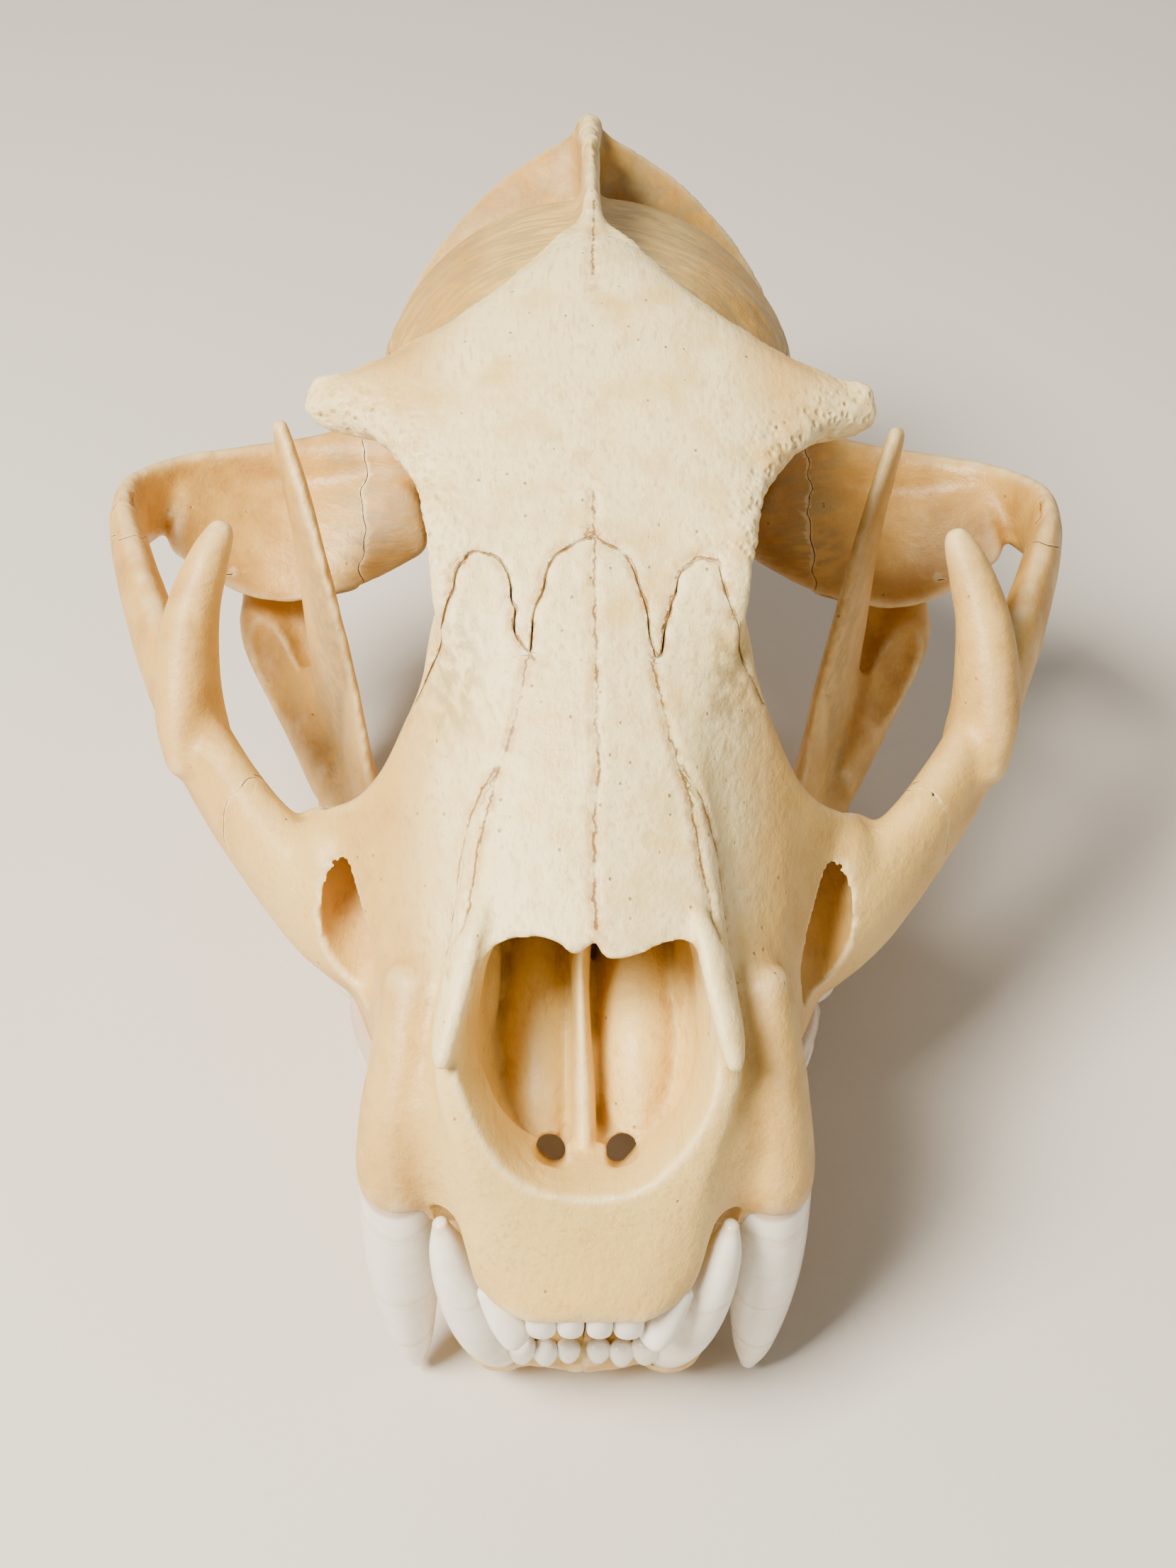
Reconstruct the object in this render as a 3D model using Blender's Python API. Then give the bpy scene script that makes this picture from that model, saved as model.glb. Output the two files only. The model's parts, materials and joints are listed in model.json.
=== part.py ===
"""Cougar skull with its lower jaw closed, life size, standing on the jaw's lower borders.

Every place is given in skull millimetres: x sideways from the midline, y back from the front of
the upper incisor sockets, z up from the line of the upper tooth sockets. The paired shapes are
written for the side with positive x and made again for the other side. seat() turns such a place
into metres in the part's own frame, where the skull stands on z = 0 and is centred on x and y.
"""

import math

import bmesh
import bpy
import numpy as np
from mathutils import Matrix, Vector

MM = 0.001
# Driving sizes, in millimetres.
SKULL_LENGTH = 208.5
FRONT_OVERHANG = 3.6
TOOTH_LINE = 33.0
GAP = 0.3
CREST_THICK = 1.7
NASAL_THICK = 2.4

# How finely each skin is made: voxel edge in millimetres and smoothing passes, then triangles kept.
CRANIUM_SKIN = (1.0, 3)
JAW_SKIN = (0.9, 3)
CRANIUM_TRIANGLES = 8200
JAW_TRIANGLES = 2000

SIDES = {"left": 1.0, "right": -1.0}
UP = Vector((0, 0, 1))
BACK = Vector((0, 1, 0))
OUT = Vector((1, 0, 0))

# Ridge lines of the muzzle, each a run of (y, x, z), from the nasal midline round to the palate.
MUZZLE = (
    ((-3, 0, 2.5), (2, 0, 9), (8, 0, 18.5), (14, 0, 28), (22, 0, 36.2), (32, 0, 42.3), (46, 0, 50.7),
     (66, 0, 61.8)),
    ((-3, 4, 2), (2, 8.5, 8), (8, 13, 18.5), (14, 16.6, 28), (22, 15.8, 33), (32, 14, 39),
     (46, 11.4, 48.2), (66, 9, 60.6)),
    ((-3, 6, 1), (2, 11.5, 6), (8, 15.4, 14), (14, 18, 20.5), (22, 18.6, 25.5), (32, 17.8, 32),
     (46, 16.4, 43), (66, 16.8, 58.5)),
    ((-3, 8, 0), (2, 13, 4), (8, 16.5, 9), (14, 23, 15), (22, 25.4, 18.5), (32, 25.2, 23),
     (46, 25.8, 32), (66, 30.5, 41)),
    ((-3, 9, -1), (2, 13.4, 1.2), (8, 16, 4), (14, 25.6, 7), (22, 27.6, 9), (32, 27.6, 12.5),
     (46, 31.5, 18), (66, 39, 25)),
    ((-3, 8, -2.4), (2, 12, -2), (8, 14.5, -1), (14, 25, 0.3), (22, 26.4, 0.5), (32, 26.6, 1),
     (46, 31.5, 0.5), (66, 37.5, 0.8)),
    ((-3, 5, -2.4), (2, 9, -2), (8, 12, 0), (14, 17, 0.5), (22, 19, 0.8), (32, 20.5, 1), (46, 24, 1),
     (66, 30, 1.5)),
    ((-3, 0, -1.6), (2, 0, 0.5), (8, 0, 2.6), (14, 0, 4), (22, 0, 5.4), (32, 0, 6.4), (46, 0, 7),
     (66, 0, 7)),
)
# Ridge lines of the forehead, its postorbital processes and the column between the orbits.
FOREHEAD = (
    ((54, 0, 54.2), (62, 0, 59.6), (70, 0, 64.2), (80, 0, 69), (90, 0, 73.6), (100, 0, 76.8),
     (110, 0, 78.2), (122, 0, 77.4), (136, 0, 73)),
    ((54, 8, 53.2), (62, 9, 58.8), (70, 10, 63.6), (80, 11.5, 68.4), (90, 15, 72.4), (100, 16, 75),
     (110, 12, 76.8), (122, 6, 76), (136, 2.2, 71)),
    ((54, 14.4, 48.6), (62, 18.9, 57), (70, 20.4, 62.8), (80, 22.6, 66.2), (90, 30, 67.8),
     (97, 37.6, 65.6), (103, 32.5, 67.8), (112, 20.5, 72.8), (122, 11, 75), (136, 3.4, 69)),
    ((54, 15.2, 44), (62, 18.4, 52.5), (70, 19.4, 58.6), (80, 21.6, 62), (90, 28.6, 63.4),
     (97, 36.8, 60.8), (103, 31.5, 62.6), (112, 21.4, 67), (122, 16, 69), (136, 14, 64)),
    ((54, 15.8, 38), (62, 17, 46), (70, 16.4, 53), (80, 16.6, 56.5), (90, 18.4, 58.6),
     (100, 19.6, 59), (110, 19.6, 59), (122, 23, 58), (136, 26, 56)),
    ((54, 17.5, 32), (62, 17, 34), (70, 15.5, 37), (80, 14.2, 38), (90, 14, 38), (100, 15.6, 38.5),
     (110, 19, 40), (122, 26, 42), (136, 31, 42)),
    ((54, 17, 16), (62, 16, 18), (70, 13.2, 20), (80, 11.8, 20), (90, 10.8, 20), (100, 11.2, 20),
     (110, 13, 19), (122, 17, 18), (136, 20, 16)),
    ((54, 0, 9), (62, 0, 11), (70, 0, 14), (80, 0, 15), (90, 0, 15), (100, 0, 15), (110, 0, 15),
     (122, 0, 14), (136, 0, 13)),
)
# Braincase from front to back: y, half width, top, height of the widest part, bottom.
BRAINCASE = (
    (104, 15, 68, 44, 20), (114, 21.5, 72.5, 43, 17), (126, 28.5, 71.5, 42, 14), (140, 33, 69, 40, 12.5),
    (154, 33, 64.8, 38, 11.5), (168, 31.5, 59.8, 36, 11), (180, 27.5, 54.2, 34, 11.5),
    (190, 22.5, 48.6, 32, 13),
    (197, 15, 42, 30, 17), (200, 5, 36, 29, 23),
)
# Passage that the nose opens into behind the palate.
CHOANA = ((60, 4, 12, 10, 8), (72, 8.5, 16, 11, 3), (86, 9, 17, 10, -4), (112, 8.5, 14, 5, -8),
          (126, 7, 8, 0, -10))
# Back of the brain's space and the way out of it, where the spinal cord leaves.
BRAIN_SPACE = (
    (148, 8, 45, 37, 30), (153, 19, 51.5, 37, 22), (162, 23.5, 52.5, 37, 19), (172, 22.5, 49, 35, 17.5),
    (182, 15.5, 41, 29, 16), (188, 10.5, 32, 22, 13.5), (196, 9.2, 28.5, 20.5, 12.4),
    (208, 9.6, 29.5, 20.5, 12),
)
# Nasal cavity from its open front to its blind back: y, half width, top, bottom.
NASAL_CAVITY = (
    (0, 3.5, 60, 16), (4, 8.4, 60, 12), (9, 11.8, 60, 9), (15, 13.8, 60, 7.6), (21, 14.8, 60, 7.2),
    (25.5, 14.6, 58, 7.2), (26.5, 14, 39.2 - NASAL_THICK, 7.4), (36, 13.4, 44.7 - NASAL_THICK, 8),
    (46, 12, 50.7 - NASAL_THICK, 9.5), (56, 10, 54, 13), (63, 6, 50, 22),
)


def seat(place):
    """Metres in the part's frame of a place in skull millimetres."""
    x, y, z = place
    return Vector((x, y + FRONT_OVERHANG - SKULL_LENGTH / 2, z + TOOTH_LINE)) * MM


def smooth_run(knots, steps):
    """Points of a smooth curve through the knots, with this many steps in each span."""
    knots = np.asarray(knots, float)
    slopes = np.gradient(knots, axis=0)
    run = []
    for start, end, slope_in, slope_out in zip(knots, knots[1:], slopes, slopes[1:]):
        for t in np.arange(steps) / steps:
            run.append((2 * t**3 - 3 * t**2 + 1) * start + (t**3 - 2 * t**2 + t) * slope_in
                       + (3 * t**2 - 2 * t**3) * end + (t**3 - t**2) * slope_out)
    run.append(knots[-1])
    return np.array(run)


def along_y(knots, stations):
    """The other values of rows that start with y, read on a smooth curve at each station."""
    knots = np.asarray(knots, float)
    y, values = knots[:, 0], knots[:, 1:]
    slopes = np.gradient(values, y, axis=0)
    span = np.clip(np.searchsorted(y, stations, side="right") - 1, 0, len(y) - 2)
    width = (y[span + 1] - y[span])[:, None]
    t = ((stations - y[span])[:, None]) / width
    return ((2 * t**3 - 3 * t**2 + 1) * values[span] + (t**3 - 2 * t**2 + t) * width * slopes[span]
            + (3 * t**2 - 2 * t**3) * values[span + 1] + (t**3 - t**2) * width * slopes[span + 1])


def closed_through(points, steps):
    """A smooth closed curve through the points."""
    points = np.asarray(points, float)
    before, after = np.roll(points, 1, axis=0), np.roll(points, -1, axis=0)
    slopes = (after - before) / 2
    run = []
    slopes_out = np.roll(slopes, -1, axis=0)
    for start, end, slope_in, slope_out in zip(points, after, slopes, slopes_out):
        for t in np.arange(steps) / steps:
            run.append((2 * t**3 - 3 * t**2 + 1) * start + (t**3 - 2 * t**2 + t) * slope_in
                       + (3 * t**2 - 2 * t**3) * end + (t**3 - t**2) * slope_out)
    return run


def solid_from_rings(name, rings):
    """A mesh object whose skin joins rings of as many points each, in skull millimetres."""
    mesh = bmesh.new()
    loops = [[mesh.verts.new(seat(point)) for point in ring] for ring in rings]
    for first, second in zip(loops, loops[1:]):
        for i in range(len(first)):
            j = (i + 1) % len(first)
            mesh.faces.new((first[i], first[j], second[j], second[i]))
    for loop in (loops[0], loops[-1]):
        middle = mesh.verts.new(sum((vertex.co for vertex in loop), Vector()) / len(loop))
        for i in range(len(loop)):
            mesh.faces.new((loop[i], loop[(i + 1) % len(loop)], middle))
    bmesh.ops.recalc_face_normals(mesh, faces=mesh.faces)
    return object_of(name, mesh)


def object_of(name, mesh):
    """Links a finished bmesh to the scene as an object."""
    data = bpy.data.meshes.new(name)
    mesh.to_mesh(data)
    mesh.free()
    thing = bpy.data.objects.new(name, data)
    bpy.context.scene.collection.objects.link(thing)
    return thing


def ridge_loft(name, ridges, spacing, across):
    """A body through ridge lines, mirrored about the midline."""
    first, last = ridges[0][0][0], ridges[0][-1][0]
    stations = np.linspace(first, last, int((last - first) / spacing) + 1)
    lines = [along_y(ridge, stations) for ridge in ridges]
    rings = []
    for n, y in enumerate(stations):
        half = [line[n] for line in lines]
        section = half + [(-x, z) for x, z in half[-2:0:-1]]
        rings.append([(x, y, z) for x, z in closed_through(section, across)])
    return solid_from_rings(name, rings)


def egg_loft(name, rows, spacing, sides, x=0.0, power=2.0):
    """A body along y whose rows give y, half width, top, height of the widest part and bottom."""
    stations = np.linspace(rows[0][0], rows[-1][0], int((rows[-1][0] - rows[0][0]) / spacing) + 1)
    rings = []
    for y, (half, top, middle, bottom) in zip(stations, along_y(rows, stations)):
        ring = []
        for turn in np.linspace(0, 2 * math.pi, sides, endpoint=False):
            across, rise = math.cos(turn), math.sin(turn)
            swell = 2 / power
            reach = top - middle if rise > 0 else middle - bottom
            ring.append((x + half * math.copysign(abs(across) ** swell, across), y,
                         middle + reach * math.copysign(abs(rise) ** swell, rise)))
        rings.append(ring)
    return solid_from_rings(name, rings)


def sweep(name, rows, towards, side=1.0, steps=4, sides=16, ends=(0.7, 0.7)):
    """A limb along a path whose rows give x, y, z, half thickness and half depth.

    The depth lies as near to the direction towards as the path allows. Each end is rounded off
    over its share in ends of the smaller half size there.
    """
    run = smooth_run(rows, steps)
    places, sizes = run[:, :3] * (side, 1, 1), run[:, 3:]
    ahead = np.gradient(places, axis=0)
    towards = np.array(towards) * (side, 1, 1)
    rings = []
    for place, size, way in zip(places, sizes, ahead):
        way = way / np.linalg.norm(way)
        deep = towards - way * (towards @ way)
        deep /= np.linalg.norm(deep)
        thick = np.cross(way, deep)
        rings.append((place, way, thick, deep, size))
    tips = []
    for (place, way, thick, deep, size), sense, share in ((rings[0], -1, ends[0]), (rings[-1], 1, ends[1])):
        reach = min(size) * share
        tips.append([(place + way * sense * reach * math.sin(a), way, thick, deep, size * math.cos(a))
                     for a in (0.6, 1.05, 1.4)])
    rings = tips[0][::-1] + rings + tips[1]
    turns = np.linspace(0, 2 * math.pi, sides, endpoint=False)
    return solid_from_rings(name, [
        [place + thick * size[0] * math.cos(a) + deep * size[1] * math.sin(a) for a in turns]
        for place, way, thick, deep, size in rings
    ])


def turned(turn, side):
    """A rotation about x, y and z in degrees, mirrored for the other side."""
    tilt, lean, yaw = (math.radians(angle) for angle in turn)
    about_x = Matrix.Rotation(tilt, 4, "X")
    about_y = Matrix.Rotation(lean * side, 4, "Y")
    about_z = Matrix.Rotation(yaw * side, 4, "Z")
    return about_z @ about_y @ about_x


def ball(name, centre, radii, side=1.0, turn=(0, 0, 0), segments=20):
    """An ellipsoid with these three radii, turned about x, y and z in degrees."""
    mesh = bmesh.new()
    bmesh.ops.create_uvsphere(mesh, u_segments=segments, v_segments=segments // 2, radius=1)
    x, y, z = centre
    size = Matrix.Diagonal((*[radius * MM for radius in radii], 1))
    mesh.transform(Matrix.Translation(seat((x * side, y, z))) @ turned(turn, side) @ size)
    return object_of(name, mesh)


def slab(name, centre, sizes, turn=(0, 0, 0), side=1.0):
    """A box of these full sizes, turned about x, y and z in degrees."""
    mesh = bmesh.new()
    bmesh.ops.create_cube(mesh, size=1)
    x, y, z = centre
    size = Matrix.Diagonal((*[length * MM for length in sizes], 1))
    mesh.transform(Matrix.Translation(seat((x * side, y, z))) @ turned(turn, side) @ size)
    return object_of(name, mesh)


def apply_modifiers(thing):
    """Puts the evaluated mesh in place of the object's own and drops its modifiers."""
    graph = bpy.context.evaluated_depsgraph_get()
    made = bpy.data.meshes.new_from_object(thing.evaluated_get(graph))
    thing.modifiers.clear()
    thing.data = made
    return thing


def combine(body, others, operation):
    """Joins the others to the body, or cuts them from it, and removes them."""
    group = bpy.data.collections.new(body.name + "_" + operation.lower())
    bpy.context.scene.collection.children.link(group)
    for other in others:
        bpy.context.scene.collection.objects.unlink(other)
        group.objects.link(other)
    boolean = body.modifiers.new("join", "BOOLEAN")
    boolean.operand_type = "COLLECTION"
    boolean.collection = group
    boolean.operation = operation
    boolean.solver = "MANIFOLD"
    apply_modifiers(body)
    for other in others:
        bpy.data.objects.remove(other)
    bpy.data.collections.remove(group)
    return body


def keep_largest(thing):
    """Leaves only the largest closed surface of a mesh."""
    mesh = bmesh.new()
    mesh.from_mesh(thing.data)
    left, shells = set(mesh.verts), []
    while left:
        shell, edge = set(), [left.pop()]
        while edge:
            vertex = edge.pop()
            shell.add(vertex)
            near = {link.other_vert(vertex) for link in vertex.link_edges} & left
            left -= near
            edge.extend(near)
        shells.append(shell)
    biggest = max(shells, key=len)
    loose = [vertex for shell in shells if shell is not biggest for vertex in shell]
    bmesh.ops.delete(mesh, geom=loose, context="VERTS")
    mesh.to_mesh(thing.data)
    mesh.free()
    return thing


def skin(thing, voxel, passes):
    """One smooth skin over a joined body."""
    remesh = thing.modifiers.new("skin", "REMESH")
    remesh.mode = "VOXEL"
    remesh.voxel_size = voxel * MM
    smooth = thing.modifiers.new("soften", "SMOOTH")
    smooth.factor = 0.5
    smooth.iterations = passes
    apply_modifiers(thing)
    return keep_largest(thing)


def thin_out(thing, triangles):
    """Thins a skin to about this many triangles, most of them where it curves most."""
    now = sum(len(face.vertices) - 2 for face in thing.data.polygons)
    thin = thing.modifiers.new("thin", "DECIMATE")
    thin.use_collapse_triangulate = True
    thin.ratio = min(1.0, triangles / now)
    return apply_modifiers(thing)


def material(name, colour, roughness):
    """A plain finish for one kind of surface."""
    made = bpy.data.materials.new(name)
    made.use_nodes = True
    shader = made.node_tree.nodes["Principled BSDF"]
    shader.inputs["Base Color"].default_value = (*colour, 1)
    shader.inputs["Roughness"].default_value = roughness
    shader.inputs["Metallic"].default_value = 0.0
    return made


def clear_scene():
    """Removes what the file starts with."""
    for thing in list(bpy.data.objects):
        bpy.data.objects.remove(thing)


def upper_canine(name, side, clearance=0.0):
    """An upper canine with its root, or a body a little larger that leaves its socket."""
    more = clearance
    rows = (
        (22.6, 21, 16, 4.0 + more, 5.0 + more),
        (23.2, 17.8, 8, 5.1 + more, 6.7 + more),
        (23.4, 15.4, 0, 5.2 + more, 7.0 + more),
        (23.5, 13.2, -9, 4.8 + more, 6.1 + more),
        (23.2, 11.6, -18, 3.9 + more, 4.8 + more),
        (22.8, 10.4, -25.6, 2.6 + more, 3.1 + more),
        (22.5, 9.8, -29.8, 1.2 + more, 1.4 + more),
    )
    return sweep(name, rows, BACK, side, steps=1, sides=14)


def lower_canine(name, side, clearance=0.0):
    """A lower canine with its root, leaning outwards in front of the upper one."""
    more = clearance
    rows = (
        (9.8, 12.5, -26, 3.2 + more, 4.4 + more),
        (11.2, 8.6, -19, 4.2 + more, 5.6 + more),
        (12.9, 5.9, -12, 4.3 + more, 5.4 + more),
        (15.0, 5.3, -5, 3.6 + more, 4.4 + more),
        (16.9, 6.3, 1.5, 2.4 + more, 3.0 + more),
        (17.8, 7.5, 5.6, 1.0 + more, 1.2 + more),
    )
    return sweep(name, rows, BACK, side, steps=1, sides=14)


def cone_tooth(name, root, tip, thick, deep, side):
    """A small tooth that tapers from its root to its tip."""
    root, tip = np.array(root, float), np.array(tip, float)
    profile = ((0, 0.8), (0.45, 1.0), (0.75, 0.9), (1, 0.45))
    rows = [(*(root + (tip - root) * t), thick * f, deep * f) for t, f in profile]
    return sweep(name, rows, OUT, side, steps=2, sides=8)


def blade_tooth(name, start, end, base, cusps, thick, side):
    """A cheek tooth: a low crown along the jaw with pointed cusps.

    cusps gives each cusp's place along the crown, from 0 to 1, the height of its point and its
    half length as a share of the crown's.
    """
    start, end = np.array(start, float), np.array(end, float)
    way = end - start
    length = np.linalg.norm(way[:2])
    profile = ((0.04, 0.7), (0.35, 0.9), (0.7, 1), (0.96, 0.7))
    crown = [(*(start + way * t), thick * f, base) for t, f in profile]
    pieces = [sweep(name, crown, UP, side, steps=2, sides=8)]
    for n, (share, height, spread) in enumerate(cusps):
        foot = start + way * share
        rows = [(*(foot + np.array((0, 0, height * t))), thick * f, spread * length * f)
                for t, f in ((0, 1.0), (0.5, 0.8), (1.0, 0.22))]
        pieces.append(sweep(f"{name}_cusp_{n}", rows, BACK, side, steps=2, sides=8))
    return pieces


def upper_small_teeth(side):
    """Incisors, premolars and molar of one side of the upper jaw."""
    teeth = [
        cone_tooth("incisor_1", (1.9, 0.6, 2), (1.8, -2.6, -4.2), 1.6, 1.7, side),
        cone_tooth("incisor_2", (5.3, 1.2, 2), (5.0, -2.2, -4.6), 1.8, 1.8, side),
        cone_tooth("incisor_3", (12.2, 5, 3), (9.5, 0.2, -7.2), 2.7, 2.6, side),
    ]
    blades = (
        ("premolar_2", (25.6, 29.5, -0.5), (25.9, 33.5, -0.5), 2.0, [(0.5, -2.6, 0.4)], 1.6),
        ("premolar_3", (27.4, 36, -1), (31, 49.5, -1), 3.2, [(0.42, -9.2, 0.24), (0.82, -5.2, 0.14)], 2.7),
        ("premolar_4", (32.4, 51, -1.2), (37.4, 74, -1.2), 3.4,
         [(0.12, -6.2, 0.11), (0.42, -11.4, 0.17), (0.78, -8.4, 0.18)], 3.1),
        ("molar_1", (30.6, 74.6, -0.2), (35.4, 75.6, -0.2), 1.8, [(0.5, -2.4, 0.3)], 1.7),
    )
    for blade in blades:
        teeth += blade_tooth(*blade, side)
    return teeth


def lower_small_teeth(side):
    """Incisors, premolars and molar of one side of the lower jaw."""
    teeth = [
        cone_tooth("incisor_1", (1.7, 5.6, -13), (1.7, 2.7, -6.8), 1.3, 1.3, side),
        cone_tooth("incisor_2", (4.4, 6.2, -13), (4.5, 3.3, -6.4), 1.4, 1.4, side),
        cone_tooth("incisor_3", (7.2, 7.4, -13), (7.5, 4.6, -6.2), 1.5, 1.6, side),
    ]
    blades = (
        ("premolar_3", (21.4, 36, -11.6), (24.2, 47.5, -11.6), 2.8, [(0.45, 7.6, 0.24)], 2.3),
        ("premolar_4", (25, 49, -11.6), (27.6, 63.5, -11.6), 3.0, [(0.48, 9.2, 0.2),
        (0.85, 4.6, 0.12)], 2.4),
        ("molar_1", (28, 65, -11.6), (30.4, 82, -11.6), 3.0, [(0.27, 9.0, 0.2), (0.74, 9.4, 0.2)], 2.3),
    )
    for blade in blades:
        teeth += blade_tooth(*blade, side)
    return teeth


def cheek_arch(side):
    """The cheekbone's bar from the upper jaw out and back, and its process behind the orbit."""
    bar = (
        (26, 47, 11.5, 7.5, 9.5), (33, 53, 13.5, 7.5, 10.2), (41, 61, 16, 5.8, 9.2),
        (50, 72, 19.4, 4.8, 8.8),
        (58, 85, 23, 4.0, 8.6), (64.8, 98, 25.5, 3.5, 8.0), (69.9, 112, 27, 3.2, 7.2),
        (72.6, 122, 26.2, 3.1, 6.8),
        (72.3, 131, 23.8, 3.3, 6.8), (67.2, 138.5, 21, 4.2, 6.4), (57, 143, 19.5, 5.0, 6.0),
        (44, 146, 20, 6.5, 6.0),
        (30, 148.5, 23, 8.0, 8.0),
    )
    process = (
        (54.6, 77, 20, 4.6, 8.6), (55.8, 80, 26, 4.8, 8.0), (56, 83.5, 32, 4.4, 6.4),
        (55.2, 87.5, 38, 3.8, 4.9),
        (53.3, 91.4, 43.2, 3.1, 3.6), (51.6, 94.4, 46.4, 2.2, 2.4),
    )
    shelf = (
        (32, 140, 19, 6.0, 9), (42, 136.5, 15.8, 3.9, 12), (52, 134.2, 14.8, 3.6, 13),
        (60, 133.5, 17.5, 3.4, 11.0),
        (67, 132.5, 21, 3.2, 8),
    )
    stop = ((38, 147, 12, 3.0, 4.5), (46, 146.4, 9, 2.4, 4.2), (54, 145.4, 11, 2.0, 3.6))
    return [
        sweep("bar", bar, UP, side),
        sweep("process", process, BACK, side, sides=12),
        sweep("shelf", shelf, BACK, side),
        sweep("postglenoid", stop, UP, side, sides=10),
    ]


def skull_base(side):
    """Ear capsule, occipital condyle, mastoid and pterygoid plate of one side."""
    pterygoid = ((13, 70, 14, 2.2, 9), (11.5, 86, 13, 1.5, 8), (11.2, 102, 12.5, 1.4, 8),
                 (12, 116, 13, 1.6, 7))
    hamulus = ((11.6, 112, 12, 1.5, 4), (11.3, 117, 5, 1.3, 3), (11, 122, 1, 1.1, 1.4))
    jugular = ((22, 183, 16, 6, 6), (26, 182, 6, 3.4, 5), (27, 181.5, 0, 2.2, 2.8))
    return [
        ball("ear_capsule", (18.5, 163, 4.5), (9.0, 14.5, 10.5), side, turn=(0, 12, -12)),
        ball("condyle", (11, 196.5, 14), (6.4, 6.6, 9), side, turn=(20, 28, 0)),
        sweep("mastoid", ((26, 170, 22, 7, 9), (33, 171, 13, 4.6, 7), (35, 171, 6, 3.2, 4)), BACK, side),
        sweep("jugular_process", jugular, BACK, side),
        sweep("pterygoid", pterygoid, UP, side),
        sweep("hamulus", hamulus, BACK, side),
    ]


def crests():
    """The crest along the top of the skull and the crest round its back."""
    top = (
        (0, 124, 73.5, 2.4, 3.4), (0, 134, 72, CREST_THICK, 5.2), (0, 148, 70, CREST_THICK, 5.8),
        (0, 164, 66.5, CREST_THICK, 6.2), (0, 180, 60.5, CREST_THICK, 7.4),
        (0, 193, 54.5, CREST_THICK * 1.2, 8),
        (0, 203, 52.4, 2.8, 6.8),
    )
    pieces = [sweep("sagittal_crest", top, UP)]
    for side in SIDES.values():
        back = (
            (0, 200, 52, 2.2, 6), (7, 199, 49, 1.9, 6), (15, 194.5, 45, 1.9, 7), (22.5, 189, 38, 2.0, 7.5),
            (28.5, 182.5, 29, 2.2, 7), (32.5, 176, 19, 2.6, 6),
        )
        pieces.append(sweep("nuchal_crest", back, (0.25, 0.7, 0.65), side, sides=12))
    return pieces


def orbit(side):
    """The space in front of which the face ends, as the orbit's rounded front wall."""
    rows = (
        (32.5, 60, 42, 7, 12), (34.5, 63.5, 42.5, 12, 17), (38, 69, 43, 17, 20), (44, 80, 44, 23, 23),
        (50, 100, 46, 30, 28),
    )
    return sweep("orbit", rows, UP, side, sides=20)


def canine_swelling(side):
    """The swelling of the upper jaw over the canine's root."""
    rows = (
        (23.2, 15.4, 1.5, 5.6, 7.4), (23.2, 17.5, 8, 5.4, 7.6), (22.6, 22, 17, 4.6, 6.8),
        (21.4, 29, 26, 3.6, 5.0),
    )
    return sweep("canine_swelling", rows, BACK, side)


def foramina(side):
    """The larger openings of one side."""
    below_orbit = ((32, 38, 17.5, 3.0, 4.8), (32.2, 50, 20.4, 3.0, 4.4), (33.8, 68, 25, 3.0, 4.0))
    nose_floor = ((4.8, 19, -6, 2.1, 3.4), (4.8, 18.6, 3, 2.1, 3.2), (4.8, 18, 12, 2.1, 3.2))
    return [
        sweep("infraorbital", below_orbit, UP, side, sides=14),
        sweep("incisive", nose_floor, BACK, side, sides=10),
    ]


def cranium():
    """Skull without its lower jaw, as one body still."""
    face = ridge_loft("cranium", MUZZLE, 2.0, 3)
    tear_wall = ((15, 48, 41, 3.6, 5), (16.6, 58, 44, 4.4, 8), (17, 68, 48, 3.6, 8))
    roots = [ball("cheek_root", (33, 57.5, 20.5), (6.6, 8.6, 8.6), side) for side in SIDES.values()]
    roots += [sweep("tear_wall", tear_wall, UP, side) for side in SIDES.values()]
    combine(face, roots, "UNION")
    combine(face, [orbit(side) for side in SIDES.values()], "DIFFERENCE")
    pieces = [ridge_loft("forehead", FOREHEAD, 2.0, 3), egg_loft("braincase", BRAINCASE, 2.0, 48)]
    pieces += crests()
    base = ((0, 90, 17, 8, 4), (0, 120, 14, 9, 4), (0, 150, 12, 12, 4.5), (0, 180, 12, 14, 5),
            (0, 192, 13, 12, 4.5))
    pieces.append(sweep("base", base, UP))
    for side in SIDES.values():
        pieces += cheek_arch(side) + skull_base(side) + [canine_swelling(side)]
    combine(face, pieces, "UNION")
    cavity = [(y, half, top, (top + low) / 2, low) for y, half, top, low in NASAL_CAVITY]
    holes = [egg_loft("nasal_cavity", cavity, 2.0, 24)]
    holes.append(egg_loft("choana", CHOANA, 3.0, 20))
    holes.append(egg_loft("brain_space", BRAIN_SPACE, 2.0, 32))
    for side in SIDES.values():
        holes += foramina(side)
    combine(face, holes, "DIFFERENCE")
    skin(face, *CRANIUM_SKIN)
    teeth = [tooth for side in SIDES.values() for tooth in upper_small_teeth(side)]
    wall = ((0, 17, 6.5, 0.7, 2.0), (0, 30, 9, 0.7, 7.5), (0, 45, 14, 0.7, 12), (0, 62, 22, 0.8, 18))
    combine(face, teeth + [sweep("septum", wall, UP, sides=8)], "UNION")
    thin_out(keep_largest(face), CRANIUM_TRIANGLES)
    sockets = [upper_canine("socket", side, GAP) for side in SIDES.values()]
    sockets += [lower_canine("notch", side, 0.9) for side in SIDES.values()]
    combine(face, sockets, "DIFFERENCE")
    return keep_largest(face)


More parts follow.
